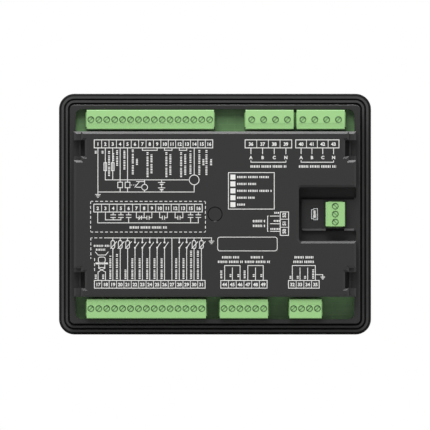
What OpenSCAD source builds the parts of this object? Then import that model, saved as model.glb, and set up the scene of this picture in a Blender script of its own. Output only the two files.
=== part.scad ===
// Generating-set controller for a control panel, seen from its rear terminals.
// Built in a flat frame (x right, y up, z to the rear, z = 0 on the panel) and stood up at the end.

/* [Panel and flange] */
// Width of the panel cut-out
cutout_w = 186; // [182:0.5:215]
// Height of the panel cut-out
cutout_h = 141; // [132:0.5:170]
// Gap between the case and the edge of the cut-out
cutout_gap = 1.45; // [0.8:0.05:2]
// Corner radius of the case
body_corner = 2.75; // [2:0.05:5]
// Width of the seal channel around the case
channel_w = 3.95; // [3.6:0.05:6]
// Width of the flange lip outside the channel
lip_w = 3; // [2.4:0.1:6]
// How far the front stands before the panel
bezel_depth = 10; // [9.5:0.1:14]
// Gap between the flange lip and the panel
lip_gap = 0.8; // [0.3:0.1:1.2]
// Depth of the seal channel below the lip
channel_depth = 2; // [1.4:0.1:2.6]
// Rounding of the flange's front edge
front_round = 3; // [1:0.1:4]
// Rounding of the flange's rear edge
lip_round = 1.2; // [0.3:0.1:1.4]

/* [Seal] */
// Gap between the case and the seal
seal_gap = 1.35; // [0.8:0.05:1.6]
// Width of the seal
seal_w = 1.5; // [1:0.05:1.8]
// Rounding of the seal's crest
seal_round = 0.4; // [0.1:0.05:0.6]

/* [Rear case] */
// Wall of the case
case_wall = 2.4; // [1.8:0.1:2.6]
// How far the rim of the tub stands behind the panel
rim_z = 21; // [19.5:0.1:21]
// How far the raised block stands behind the panel
block_z = 37; // [34:0.1:44]
// Step from the side of the tub to the side of the block
block_inset = 2.4; // [1.6:0.1:4]
// Chamfer along the edges of the block
block_chamfer = 1.45; // [0.5:0.05:1.8]
// Rounding of the tub's rear edge
rim_round = 0.6; // [0.2:0.1:1]
// Height of a terminal window
window_h = 14.1; // [13.9:0.1:16]
// Rim left outside a terminal window, above and below
window_rim = 2.75; // [2:0.05:4]
// Rim left beside a terminal window, left and right
window_side = 3.5; // [2.6:0.1:5]
// Outer corner radius of a terminal window
window_corner = 4; // [1:0.5:6]
// Diameter of the moulding gate mark
gate_d = 9.6; // [4:0.1:12]
// Depth of the moulding gate mark
gate_depth = 0.65; // [0.2:0.05:1]
// Gap between the case and what passes through it
case_fit = 0.2; // [0.1:0.05:0.4]

/* [Clip pockets] */
// Width of the low shelf at each corner of the block
shelf_w = 4.5; // [3:0.1:7]
// Length of the low shelf
shelf_h = 18.1; // [16.5:0.1:26]
// Drop from the block to the shelf
shelf_drop = 4; // [2:0.1:6]
// Width of the clip slot
slot_w = 7; // [6:0.1:9]
// Length of the clip slot
slot_h = 10.1; // [7:0.1:12]
// Shelf left between the slot and the edge of the block
slot_offset = 5.5; // [3:0.1:7]
// How far the slot's floor stands behind the panel
slot_floor = 24; // [23.5:0.1:27]
// Thickness of the bar that catches the clip
catch_w = 1.2; // [0.8:0.1:2]
// Height of the bar above the slot's floor
catch_h = 3.5; // [2:0.1:5]

/* [Port bay] */
// Width of the bay from the side of the block
bay_w = 36.2; // [35:0.1:40]
// Height of the bay
bay_h = 34; // [26:0.1:40]
// How far the channel floor in the bay stands behind the panel
bay_floor = 16; // [15:0.1:18]
// Gap between the bay's inner end and the platform
bay_gap = 1.7; // [1:0.1:3]
// Height of the platform in the bay
platform_h = 20.8; // [20.2:0.1:24]
// Corner radius of the bay
bay_corner = 1.8; // [0.5:0.1:2.5]
// Corner radius of the platform
platform_corner = 1.4; // [0.5:0.1:2]
// Wall of the platform
platform_wall = 1.3; // [1:0.1:1.5]
// Chamfer along the platform's upper and lower edge
platform_chamfer = 1.2; // [0.4:0.1:1.2]
// Distance from the side of the block to the port
port_inset = 26.3; // [24:0.1:28]
// Distance from the side of the block to the serial plug
serial_inset = 13.2; // [12:0.1:14]
// Size of the port, along the bay
port_w = 4.2; // [3.8:0.1:5]
// Size of the port, across the bay
port_h = 7.4; // [7:0.1:9]
// Metal of the port's shell
port_wall = 0.4; // [0.3:0.05:0.6]

/* [Terminals] */
// Pitch of the signal terminals
fine_pitch = 5; // [4.8:0.02:5.08]
// Pitch of the voltage terminals
wide_pitch = 7.5; // [7.2:0.02:7.62]
// Poles of the output plug
output_poles = 16; // [4:1:16]
// Poles of the input plug
input_poles = 15; // [4:1:15]
// Poles of the bus plug
bus_poles = 6; // [2:1:6]
// Poles of the current plug
current_poles = 4; // [2:1:6]
// Poles of the generator and mains plugs
phase_poles = 4; // [2:1:4]
// Poles of the serial plug
serial_poles = 3; // [2:1:3]
// Distance from the window's end to the first header of a row
row_margin = 6.4; // [5:0.1:7]
// Gap from the output header to the generator header
generator_gap = 18.7; // [4:0.1:19]
// Gap from the generator header to the mains header
mains_gap = 0.7; // [0.4:0.1:5]
// Gap from the input header to the bus header
bus_gap = 7.5; // [4:0.1:12]
// Gap from the bus header to the current header
current_gap = 12.3; // [4:0.1:16]
// Thickness of a plug, seen on its face
plug_t = 12.3; // [11.4:0.1:12.4]
// Gap between the raised block and a plug
plug_gap = 1.3; // [1:0.1:1.4]
// How far a plug's face stands behind the panel
plug_z = 33; // [32:0.1:36]
// Chamfer along a plug's face
plug_chamfer = 0.4; // [0.1:0.1:0.8]
// Length that a plug has over its poles
plug_extra = 0.3; // [0.2:0.1:0.6]
// Length that a header has over its poles
header_extra = 1.6; // [1.4:0.1:2]
// Thickness of a header
header_t = 9.2; // [8.6:0.1:10]
// Height of a header
header_h = 8.4; // [7.4:0.1:8.6]
// Wall of a header
header_wall = 0.9; // [0.6:0.05:1]
// Gap between a plug and its header
plug_fit = 0.2; // [0.1:0.05:0.3]
// Diameter of a screw well in a plug
well_d = 4.3; // [4:0.1:4.5]
// Width of a wire entry
entry_w = 3.7; // [3.4:0.1:3.9]
// Height of a wire entry
entry_h = 4.2; // [3.6:0.1:4.4]
// Thickness of a contact pin
pin_w = 1; // [0.8:0.05:1.2]
// Depth of the marking groove on a plug
groove_depth = 0.2; // [0.1:0.05:0.4]

/* [Boards] */
// Thickness of both boards
board_t = 1.6; // [1.2:0.1:2]
// Distance from the panel to the main board's rear face
board_z = 12; // [11.5:0.1:12.4]
// Distance from the side of the block to the standoffs
standoff_inset_x = 7.2; // [6:0.1:8]
// Distance from the top of the block to the standoffs
standoff_inset_y = 8.2; // [6:0.1:12]
// Size of a hex standoff across its flats
standoff_d = 5.5; // [5:0.1:6]
// Diameter of the board screws
screw_d = 2.8; // [2.2:0.1:2.9]
// Number of output relays
relay_count = 6; // [1:1:6]
// Width of a relay
relay_w = 15; // [12:0.5:17]
// Length of a relay
relay_l = 19; // [15:0.5:20]
// Height of a relay
relay_h = 15; // [10:0.5:18]
// Spacing of the relays
relay_spacing = 21; // [19:0.5:21]
// Number of supply capacitors
capacitor_count = 3; // [1:1:4]
// Diameter of a supply capacitor
capacitor_d = 10; // [8:0.5:13]
// Height of a supply capacitor
capacitor_h = 16; // [10:0.5:18]
// Spacing of the supply capacitors
capacitor_spacing = 16; // [14:0.5:20]
// Distance from the side of the block to the first relay, capacitor and driver chip
part_inset_x = 28; // [24:0.5:32]
// Distance from the edge of the block to the relays and to the capacitors
part_inset_y = 18; // [16:0.5:20]
// Size of the processor
processor_w = 20; // [14:0.5:22]
// Number of driver chips
driver_count = 4; // [1:1:4]
// Width of a driver chip
driver_w = 8; // [5:0.5:9]
// Length of a driver chip
driver_l = 10; // [6:0.5:11]
// Spacing of the driver chips
driver_spacing = 14; // [10:0.5:14]
// Thickness of the chips
chip_t = 1.6; // [1:0.1:2.4]
// Distance of the chips above and below the middle
chip_row = 7; // [5:0.5:9]

/* [Front] */
// Depth of the fascia below the bezel's rim
fascia_drop = 1; // [0.6:0.1:1.4]
// Thickness of the fascia sheet
fascia_t = 0.5; // [0.3:0.05:0.6]
// Rim of the bezel around the fascia
fascia_rim = 7.5; // [6.5:0.1:9]
// Thickness of the bezel's front wall
front_wall = 2; // [1.8:0.1:2.2]
// Wall of the snap skirt inside the case
skirt_wall = 2; // [1.6:0.1:2.4]
// How far the skirt reaches behind the panel
skirt_z = 4.5; // [3.5:0.1:6]
// Visible width of the display
view_w = 98; // [80:1:100]
// Visible height of the display
view_h = 58; // [46:1:59]
// Place of the display, to the side of the middle
view_x = 16; // [14:0.5:17]
// Distance from the fascia's upper edge to the middle of the display
view_drop = 50.5; // [48.5:0.5:51.5]
// Thickness of the display module
lcd_t = 4.4; // [4:0.1:5]
// Width of a mode key
mode_key_w = 22; // [16:0.5:22]
// Height of a mode key
mode_key_h = 15; // [12:0.5:16]
// Distance from the fascia's side to the middle of the outer mode keys
mode_side = 27; // [27:0.5:37]
// Distance from the fascia's lower edge to the middle of the mode keys
mode_margin = 22.5; // [21.5:0.5:24.5]
// Width of a menu key
menu_key_w = 18; // [14:0.5:20]
// Height of a menu key
menu_key_h = 13; // [10:0.5:14]
// Spacing of the menu keys
menu_spacing = 22; // [18:0.5:23]
// Distance from the fascia's side to the middle of the menu keys
menu_margin = 29; // [27:0.5:31]
// Travel of a key
key_travel = 0.8; // [0.4:0.1:0.9]
// Gap around a key in the bezel
key_fit = 0.25; // [0.15:0.05:0.4]
// Diameter of a status light
led_d = 3; // [2:0.1:4]
// Distance from a mode key's middle to its light
led_rise = 19; // [13:0.5:20]

/* [Hidden] */
$fn = 48;
eps = 0.01;
past = 2;

body_w = cutout_w - 2 * cutout_gap;
body_h = cutout_h - 2 * cutout_gap;
flange_w = body_w + 2 * (channel_w + lip_w);
flange_h = body_h + 2 * (channel_w + lip_w);
flange_corner = body_corner + channel_w + lip_w;
lip_z = -lip_gap;
floor_z = lip_z - channel_depth;

block_w = body_w - 2 * block_inset;
block_h = body_h - 2 * (window_rim + window_h);
window_w = body_w - 2 * window_side;
shelf_z = block_z - shelf_drop;
tub_inner_w = body_w - 2 * case_wall;
tub_inner_h = body_h - 2 * case_wall;
skirt_w = tub_inner_w - 2 * case_fit;
skirt_h = tub_inner_h - 2 * case_fit;
hollow_w = skirt_w - 2 * skirt_wall;
hollow_h = skirt_h - 2 * skirt_wall;

snap_len = 14;
snap_depth = 0.9;
snap_t = 1.4;
snap_drop = 2.2;
snap_z = skirt_z - snap_drop;
min_corner = 0.4;
tray_wall = 2;

bay_x = block_w / 2 - bay_w;
port_x = block_w / 2 - port_inset;
port_step = 0.6;
port_sink = 0.4;
port_base = 1.5;
port_base_t = 1;
port_fit = 0.05;
contact_w = 1.4;
contact_h = 4.8;
contact_sink = 1;
serial_x = block_w / 2 - serial_inset;

row_y = block_h / 2 + plug_gap + plug_t / 2;
function header_len(poles, pitch) = poles * pitch + header_extra;
row_x = -window_w / 2 + row_margin;
output_x = row_x + header_len(output_poles, fine_pitch) / 2;
generator_x = output_x + (header_len(output_poles, fine_pitch)
    + header_len(phase_poles, wide_pitch)) / 2 + generator_gap;
mains_x = generator_x + header_len(phase_poles, wide_pitch) + mains_gap;
input_x = row_x + header_len(input_poles, fine_pitch) / 2;
bus_x = input_x + (header_len(input_poles, fine_pitch)
    + header_len(bus_poles, fine_pitch)) / 2 + bus_gap;
current_x = bus_x + (header_len(bus_poles, fine_pitch)
    + header_len(current_poles, fine_pitch)) / 2 + current_gap;

// Each terminal: poles, pitch, place of its middle and the turn of its wire side
output_t = [output_poles, fine_pitch, [output_x, row_y], 0];
generator_t = [phase_poles, wide_pitch, [generator_x, row_y], 0];
mains_t = [phase_poles, wide_pitch, [mains_x, row_y], 0];
input_t = [input_poles, fine_pitch, [input_x, -row_y], 180];
bus_t = [bus_poles, fine_pitch, [bus_x, -row_y], 180];
current_t = [current_poles, fine_pitch, [current_x, -row_y], 180];
serial_t = [serial_poles, fine_pitch, [serial_x, 0], -90];
terminals = [output_t, generator_t, mains_t, input_t, bus_t, current_t, serial_t];

// Levels of a terminal above the board
head_base = rim_z + case_fit - board_z;
head_top = plug_z - board_z;
tongue_base = 1.5;
tongue_t = header_t - 2 * header_wall - 2 * plug_fit;
header_floor = 1.2;
cage_floor = 1.3;
cage_roof = 1.4;
cage_base = head_base + cage_floor;
cage_h = entry_h + cage_roof;
cage_depth = 5.4;
cage_in = -2.8;
clamp_wall = 0.45;
clamp_screw_d = 2.4;
clamp_reach = 1;
sleeve_wall = 0.7;
sleeve_w = pin_w + 2 * sleeve_wall;
sleeve_lift = 0.5;
screw_head_h = 2;
screw_sink = 1;
screw_turn = 45;
drive_w = 0.7;
drive_depth = 0.8;
pin_sink = 0.8;
pin_top = header_h - pin_sink;
pin_tail = 1.8;
groove_w = 2.5;
groove_edge = 1.2;
groove_end = 1;

main_board_w = tub_inner_w - 4 * case_fit;
main_board_h = tub_inner_h - 4 * case_fit;
standoff_x = block_w / 2 - standoff_inset_x;
standoff_y = block_h / 2 - standoff_inset_y;
screw_fit = 0.1;
screw_head_d = 2 * screw_d;
screw_reach = 6;
screw_bore = screw_reach + 1;
stud_reach = screw_reach - 1;
boss_d = standoff_d + 1;
board_corner = body_corner - 0.5;
part_x = part_inset_x - block_w / 2;
part_y = block_h / 2 - part_inset_y;
part_chamfer = 0.4;
capacitor_round = 0.8;

recess_z = -bezel_depth + fascia_drop + fascia_t;
wall_z = recess_z + front_wall;
fascia_w = flange_w - 2 * fascia_rim;
fascia_h = flange_h - 2 * fascia_rim;
fascia_corner = 4;
view_y = fascia_h / 2 - view_drop;
fascia_fit = 0.15;
window_t = 1.2;
window_step = 2;
lcd_gap = 0.2;
lcd_border_x = 10;
lcd_border_y = 7;
lcd_z = wall_z + lcd_gap;
display_board_z = lcd_z + lcd_t;
display_board_gap = 1;
display_board_w = hollow_w - 2 * display_board_gap;
display_board_h = hollow_h - 2 * display_board_gap;
glass_t = 0.9;
lcd_corner = 1;
glass_corner = 0.5;

key_gap = 0.2;
key_flange = 1.5;
key_flange_t = 1;
key_corner = 3;
key_round = 0.8;
key_back = wall_z + key_gap + key_flange_t;
switch_gap = 0.25;
switch_top = key_back + key_travel + switch_gap;
switch_size = 6;
switch_corner = 0.5;
switch_plunger_d = 3.2;
switch_plunger_h = 0.6;
mode_spacing = (fascia_w / 2 - mode_side) / 2;
mode_y = mode_margin - fascia_h / 2;
menu_x = menu_margin - fascia_w / 2;
led_y = mode_y + led_rise;
led_fit = 0.15;
led_flange = 0.8;
led_proud = 0.3;
led_round = 0.5;
led_chip_t = 1;
led_chip_w = 2;
led_chip_h = 1.6;
led_chip_corner = 0.2;

link_pins = 20;
link_pitch = 2.54;
link_y = -30;
link_w = 5;
link_base = 2.5;
link_pin = 0.64;
link_web = 2;
link_tip = 3;
link_corner = 0.3;

// Keys as [place, size]; x runs the other way when seen from the front
function mode_key(i) = [[-i * mode_spacing, mode_y], [mode_key_w, mode_key_h]];
function menu_key(i) = [[menu_x, view_y + i * menu_spacing], [menu_key_w, menu_key_h]];
stop_k = mode_key(-2);
manual_k = mode_key(-1);
auto_k = mode_key(0);
test_k = mode_key(1);
start_k = mode_key(2);
up_k = menu_key(1);
down_k = menu_key(0);
enter_k = menu_key(-1);
keys = [stop_k, manual_k, auto_k, test_k, start_k, up_k, down_k, enter_k];

case_black = "#3d3d3d";
bezel_black = "#333433";
terminal_green = "#a5d691";
screw_green = "#8db67c";
board_green = "#53734b";

// Stands the flat model up: the rear faces -Y and the top faces +Z
module upright() {
    rotate([90, 0, 0]) children();
}

module at_z(z) {
    translate([0, 0, z]) children();
}

module four_corners(x, y) {
    for (sx = [-1, 1], sy = [-1, 1]) translate([sx * x, sy * y]) children();
}

// Rectangle with round corners
module outline(w, h, r) {
    square([w - 2 * r, h], center = true);
    square([w, h - 2 * r], center = true);
    four_corners(w / 2 - r, h / 2 - r) circle(r);
}

module panel(w, h, r, z0, z1) {
    at_z(z0) linear_extrude(z1 - z0) outline(w, h, r);
}

// Half of a slab's section, with its outer corners rounded
module edge_section(half, t, r0, r1) {
    translate([0, r0]) square([half, t - r0 - r1]);
    square([half - r0, t / 2]);
    translate([0, t / 2]) square([half - r1, t / 2]);
    if (r0 > 0) translate([half - r0, r0]) circle(r0);
    if (r1 > 0) translate([half - r1, t - r1]) circle(r1);
}

module full_section(w, t, r0, r1) {
    edge_section(w / 2, t, r0, r1);
    mirror([1, 0]) edge_section(w / 2, t, r0, r1);
}

// Slab with round corners whose front edge (r0) and rear edge (r1) are rounded too
module soft_slab(w, h, corner, z0, z1, r0, r1) {
    t = z1 - z0;
    at_z(z0) {
        rotate([90, 0, 0]) linear_extrude(h - 2 * corner, center = true) full_section(w, t, r0, r1);
        rotate([90, 0, 90]) linear_extrude(w - 2 * corner, center = true) full_section(h, t, r0, r1);
        for (i = [0:3]) {
            sx = i == 0 || i == 3 ? 1 : -1;
            sy = i < 2 ? 1 : -1;
            translate([sx * (w / 2 - corner), sy * (h / 2 - corner), 0]) rotate([0, 0, 90 * i])
                rotate_extrude(angle = 90) edge_section(corner, t, r0, r1);
        }
    }
}

// Section that narrows by a chamfer at its top
module chamfer_section(w, z0, z1, c) {
    polygon([[-w / 2, z0], [w / 2, z0], [w / 2, z1 - c],
        [w / 2 - c, z1], [c - w / 2, z1], [-w / 2, z1 - c]]);
}

// Block whose four top edges are chamfered
module chamfer_block(w, h, z0, z1, c) {
    intersection() {
        rotate([90, 0, 0]) linear_extrude(h, center = true) chamfer_section(w, z0, z1, c);
        rotate([90, 0, 90]) linear_extrude(w, center = true) chamfer_section(h, z0, z1, c);
    }
}

// Section of a pocket whose mouth at z1 flares by a chamfer
module flare_section(a, b, z0, z1, c) {
    polygon([[a, z0], [b, z0], [b, z1 - c],
        [b + c + past, z1 + past], [a - c - past, z1 + past], [a, z1 - c]]);
}

// Cutter for a pocket with a chamfered mouth
module flared_pocket(x, y, z0, z1, c) {
    far = 2 * flange_w;
    intersection() {
        rotate([90, 0, 0]) linear_extrude(far, center = true) flare_section(x[0], x[1], z0, z1, c);
        rotate([90, 0, 90]) linear_extrude(far, center = true) flare_section(y[0], y[1], z0, z1, c);
    }
}

// Front frame: flange, seal channel, fascia recess, snap skirt and bosses for the boards
module front_bezel() {
    skirt_corner = max(body_corner - case_wall - case_fit, min_corner);
    color(bezel_black) upright() difference() {
        union() {
            difference() {
                soft_slab(flange_w, flange_h, flange_corner, -bezel_depth, lip_z, front_round, lip_round);
                panel(body_w + 2 * channel_w, body_h + 2 * channel_w, body_corner + channel_w,
                    floor_z, past);
            }
            panel(skirt_w, skirt_h, skirt_corner, floor_z - eps, skirt_z);
            snap_noses();
        }
        difference() {
            panel(hollow_w, hollow_h, skirt_corner, wall_z, skirt_z + past);
            four_corners(standoff_x, standoff_y)
                at_z(wall_z - eps) cylinder(d = boss_d, h = display_board_z - wall_z + eps);
        }
        panel(fascia_w + 2 * fascia_fit, fascia_h + 2 * fascia_fit, fascia_corner + fascia_fit,
            -bezel_depth - past, recess_z);
        translate([view_x, view_y]) {
            panel(view_w + 2 * window_step, view_h + 2 * window_step, fascia_corner,
                -bezel_depth - past, recess_z + window_t);
            panel(view_w, view_h, window_step, -bezel_depth, wall_z + past);
        }
        key_openings(-bezel_depth, wall_z + past);
        led_holes(-bezel_depth, wall_z + past);
        four_corners(standoff_x, standoff_y)
            at_z(display_board_z - screw_reach)
                cylinder(d = screw_d + 2 * screw_fit, h = screw_reach + past);
    }
}

// Noses on the skirt that hold the rear case
module snap_noses() {
    for (sx = [-1, 1], sy = [-1, 1]) {
        translate([sx * skirt_w / 4, sy * (skirt_h / 2), snap_z]) snap_nose(snap_len, snap_depth, 0);
        translate([sx * (skirt_w / 2), sy * skirt_h / 4, snap_z]) rotate([0, 0, 90])
            snap_nose(snap_len, snap_depth, 0);
    }
}

// Wedge along x that stands out on both sides of y = 0
module snap_nose(len, depth, grow) {
    rotate([90, 0, 90]) linear_extrude(len + 2 * grow, center = true)
        polygon([[-depth - grow, -grow], [depth + grow, -grow], [depth + grow, snap_t / 2],
            [grow, snap_t + depth + grow], [-grow, snap_t + depth + grow], [-depth - grow, snap_t / 2]]);
}

module key_openings(z0, z1) {
    for (k = keys) translate(k[0])
        panel(k[1][0] + 2 * key_fit, k[1][1] + 2 * key_fit, key_corner + key_fit, z0, z1);
}

module led_holes(z0, z1) {
    for (i = [-2:2]) translate([i * mode_spacing, led_y, z0])
        cylinder(d = led_d + 2 * led_fit, h = z1 - z0);
}

// Thin sheet in the recess of the front
module front_fascia() {
    color("#46494b") upright() difference() {
        panel(fascia_w, fascia_h, fascia_corner, recess_z - fascia_t, recess_z);
        translate([view_x, view_y]) panel(view_w, view_h, window_step, recess_z - past, recess_z + past);
        key_openings(recess_z - past, recess_z + past);
        led_holes(recess_z - past, recess_z + past);
    }
}

// Clear plate in the step of the bezel's display opening
module display_window() {
    grow = 2 * (window_step - fascia_fit);
    color("#c8d0d0", 0.4) upright() translate([view_x, view_y])
        panel(view_w + grow, view_h + grow, fascia_corner - fascia_fit, recess_z, recess_z + window_t);
}

// Pressed metal frame of the display module
module lcd_frame() {
    color("#8a8d90") upright() translate([view_x, view_y]) difference() {
        panel(view_w + 2 * lcd_border_x, view_h + 2 * lcd_border_y, lcd_corner, lcd_z, display_board_z);
        panel(view_w, view_h, glass_corner, lcd_z - past, lcd_z + glass_t);
    }
}

// Glass of the display
module lcd_glass() {
    color("#5f7d76") upright() translate([view_x, view_y])
        panel(view_w - 2 * fascia_fit, view_h - 2 * fascia_fit, glass_corner, lcd_z, lcd_z + glass_t);
}

// Board behind the front, fixed on the bezel's bosses
module display_board() {
    color(board_green) upright() difference() {
        panel(display_board_w, display_board_h, board_corner, display_board_z, display_board_z + board_t);
        four_corners(standoff_x, standoff_y)
            at_z(display_board_z - past) cylinder(d = screw_d + 2 * screw_fit, h = board_t + 2 * past);
    }
}

// Push switches under the keys
module key_switches() {
    color("#2a2a2a") upright() for (k = keys) translate(k[0]) {
        panel(switch_size, switch_size, switch_corner, switch_top + switch_plunger_h, display_board_z);
        at_z(switch_top) cylinder(d = switch_plunger_d, h = switch_plunger_h + eps);
    }
}

// Lamps on the display board, one over each mode key
module status_leds() {
    color("#e8e4d4") upright() for (i = [-2:2]) translate([i * mode_spacing, led_y])
        panel(led_chip_w, led_chip_h, led_chip_corner, display_board_z - led_chip_t, display_board_z);
}

// Light pipes through the front, held by a collar behind the wall
module led_lenses() {
    tip = recess_z - fascia_t - led_proud;
    collar_h = display_board_z - led_chip_t - led_fit - wall_z;
    color("#d9dcd6") upright() for (i = [-2:2]) translate([i * mode_spacing, led_y]) {
        at_z(tip) rotate_extrude() edge_section(led_d / 2, wall_z + led_flange - tip, led_round, 0);
        at_z(wall_z) cylinder(d = led_d + 2 * led_flange, h = collar_h);
    }
}

// Key cap with the flange that keeps it behind the front wall
module key(k, tint) {
    color(tint) upright() translate(k[0]) {
        soft_slab(k[1][0], k[1][1], key_corner, -bezel_depth, wall_z + key_gap + eps, key_round, 0);
        panel(k[1][0] + 2 * key_flange, k[1][1] + 2 * key_flange, key_corner, wall_z + key_gap, key_back);
    }
}

module stop_key() { key(stop_k, "#b3261e"); }
module manual_key() { key(manual_k, "#8f9498"); }
module auto_key() { key(auto_k, "#8f9498"); }
module test_key() { key(test_k, "#8f9498"); }
module start_key() { key(start_k, "#2e7d32"); }
module up_key() { key(up_k, "#8f9498"); }
module down_key() { key(down_k, "#8f9498"); }
module enter_key() { key(enter_k, "#8f9498"); }

// Hex spacers whose studs hold the display board and whose bores take the main board's screws
module board_standoffs() {
    base = display_board_z + board_t;
    top = board_z - board_t;
    color("#c9b26a") upright() four_corners(standoff_x, standoff_y) difference() {
        union() {
            at_z(base) cylinder(d = standoff_d / cos(30), h = top - base, $fn = 6);
            at_z(display_board_z - stud_reach)
                cylinder(d = screw_d, h = base + eps - display_board_z + stud_reach);
        }
        at_z(top - screw_bore) cylinder(d = screw_d + 2 * screw_fit, h = screw_bore + past);
    }
}

// Screws that hold the main board on the standoffs
module board_screws() {
    color("#b8bcc0") upright() four_corners(standoff_x, standoff_y) difference() {
        union() {
            at_z(board_z) cylinder(d = screw_head_d, h = screw_head_h);
            at_z(board_z - board_t - screw_reach) cylinder(d = screw_d, h = board_t + screw_reach + eps);
        }
        at_z(board_z + screw_head_h) cube([drive_w, screw_head_d + past, 2 * drive_depth], center = true);
    }
}

module link_places() {
    for (i = [0:link_pins - 1]) translate([(i - (link_pins - 1) / 2) * link_pitch, link_y]) children();
}

// Socket strip on the display board
module link_socket() {
    base = display_board_z + board_t;
    top = board_z - board_t - link_base - case_fit;
    color("#1f1f1f") upright() difference() {
        translate([0, link_y]) panel(link_pins * link_pitch, link_w, link_corner, base, top);
        link_places() at_z(base + link_web) linear_extrude(top - base) square(2 * link_pin, center = true);
    }
}

// Pin strip on the main board
module link_header() {
    top = board_z - board_t;
    base = display_board_z + board_t + link_tip;
    color("#1f1f1f") upright() {
        translate([0, link_y]) panel(link_pins * link_pitch, link_w, link_corner, top - link_base, top);
        link_places() at_z(base) linear_extrude(top - base - eps) square(link_pin, center = true);
    }
}

// Places a terminal's own frame on the board: x along the row, y to the wire side, z off the board
module on_board(t) {
    translate([t[2][0], t[2][1], board_z]) rotate([0, 0, t[3]]) children();
}

module each_pole(t) {
    for (i = [0:t[0] - 1]) translate([(i - (t[0] - 1) / 2) * t[1], 0, 0]) children();
}

module bar(x, y, z) {
    translate([x[0], y[0], z[0]]) cube([x[1] - x[0], y[1] - y[0], z[1] - z[0]]);
}

// Square hole for a contact pin, reaching to both sides of z = 0
module pin_hole(reach) {
    side = pin_w + 2 * screw_fit;
    cube([side, side, 2 * reach], center = true);
}

// Board seen through the terminal windows
module main_board() {
    color(board_green) upright() difference() {
        panel(main_board_w, main_board_h, board_corner, board_z - board_t, board_z);
        four_corners(standoff_x, standoff_y)
            at_z(board_z - board_t - past) cylinder(d = screw_d + 2 * screw_fit, h = board_t + 2 * past);
        for (t = terminals) on_board(t) each_pole(t) pin_hole(board_t + past);
    }
}

// Relays of the outputs, in a row under the raised block
module output_relays() {
    color("#2f4f7f") upright() for (i = [0:relay_count - 1]) translate([part_x + i * relay_spacing, part_y])
        chamfer_block(relay_w, relay_l, board_z, board_z + relay_h, part_chamfer);
}

// Capacitors of the power supply
module supply_capacitors() {
    color("#30343a") upright() for (i = [0:capacitor_count - 1])
        translate([part_x + i * capacitor_spacing, -part_y, board_z])
            rotate_extrude() edge_section(capacitor_d / 2, capacitor_h, 0, capacitor_round);
}

// Processor and its drivers
module board_chips() {
    color("#222222") upright() {
        translate([0, -chip_row])
            chamfer_block(processor_w, processor_w, board_z, board_z + chip_t, part_chamfer);
        for (i = [0:driver_count - 1]) translate([part_x + i * driver_spacing, chip_row])
            chamfer_block(driver_w, driver_l, board_z, board_z + chip_t, part_chamfer);
    }
}

// Outline of the port: one side narrower than the other
module port_outline(inset) {
    square([port_w - 2 * inset, port_h - 2 * (inset + port_step)], center = true);
    translate([port_w / 6, 0]) square([port_w * 2 / 3 - 2 * inset, port_h - 2 * inset], center = true);
}

// Folded metal shell of the port
module usb_shell() {
    color("#c3c7ca") upright() translate([port_x, 0, board_z]) difference() {
        linear_extrude(rim_z - board_z - port_sink) port_outline(0);
        at_z(port_base) linear_extrude(rim_z) port_outline(port_wall);
    }
}

// Contact tongue in the middle of the port
module usb_insulator() {
    color("#e9e9e6") upright() translate([port_x, 0, board_z + port_base]) {
        linear_extrude(port_base_t) port_outline(port_wall + port_fit);
        linear_extrude(rim_z - board_z - port_base - contact_sink)
            square([contact_w, contact_h], center = true);
    }
}

// Opening over a row of terminals, with round corners on its outer side
module terminal_window() {
    y0 = block_h / 2 - eps;
    translate([0, y0 + window_h / 2]) {
        outline(window_w, window_h, window_corner);
        translate([0, -window_h / 4]) square([window_w, window_h / 2], center = true);
    }
}

// Raised block: full height in a cross, lower on a shelf at each corner
module block_body() {
    z0 = rim_z - case_wall + eps;
    chamfer_block(block_w, block_h, z0, shelf_z, block_chamfer);
    chamfer_block(block_w - 2 * shelf_w, block_h, z0, block_z, block_chamfer);
    chamfer_block(block_w, block_h - 2 * shelf_h, z0, block_z, block_chamfer);
}

// Hollow of the raised block, clear of the clip pockets
module block_hollow() {
    pocket_x = block_w / 2 - slot_w - case_wall;
    pocket_y = block_h / 2 - shelf_h - case_wall;
    at_z(rim_z - case_wall - past) linear_extrude(block_z - rim_z + past) difference() {
        union() {
            square([2 * pocket_x, block_h - 2 * case_wall], center = true);
            square([block_w - 2 * case_wall, 2 * pocket_y], center = true);
        }
        translate([bay_x - case_wall, -bay_h / 2 - case_wall]) square([block_w, bay_h + 2 * case_wall]);
    }
}

// Rear moulding: tub, raised block, terminal windows, clip pockets and port bay
module rear_case() {
    color(case_black) upright() difference() {
        union() {
            difference() {
                union() {
                    soft_slab(body_w, body_h, body_corner, floor_z, rim_z, 0, rim_round);
                    block_body();
                }
                panel(tub_inner_w, tub_inner_h, max(body_corner - case_wall, min_corner),
                    floor_z - past, rim_z - case_wall);
                for (s = [0, 1]) mirror([0, s, 0]) at_z(board_z) linear_extrude(rim_z) terminal_window();
                block_hollow();
            }
            for (s = [-1, 1])
                translate([0, s * (block_h - case_wall) / 2, (board_z + rim_z + case_fit) / 2])
                    cube([tub_inner_w + case_wall, case_wall, rim_z - board_z - case_fit], center = true);
            bay_tray();
        }
        for (mx = [0, 1], my = [0, 1]) mirror([mx, 0, 0]) mirror([0, my, 0]) clip_slot();
        port_bay();
        snap_seats();
        at_z(block_z - gate_depth)
            cylinder(d1 = gate_d - 2 * gate_depth, d2 = gate_d + 2 * past, h = gate_depth + past);
    }
}

// Slot at the outer side of the block, with the bar that catches the mounting clip
module clip_slot() {
    x0 = block_w / 2 - slot_w;
    y1 = block_h / 2 - slot_offset;
    difference() {
        flared_pocket([x0, body_w], [y1 - slot_h, y1], slot_floor, block_z, block_chamfer);
        translate([block_w / 2 - shelf_w, y1 - slot_h - past, slot_floor - past])
            cube([catch_w, slot_h + 2 * past, catch_h + past]);
    }
}

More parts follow.
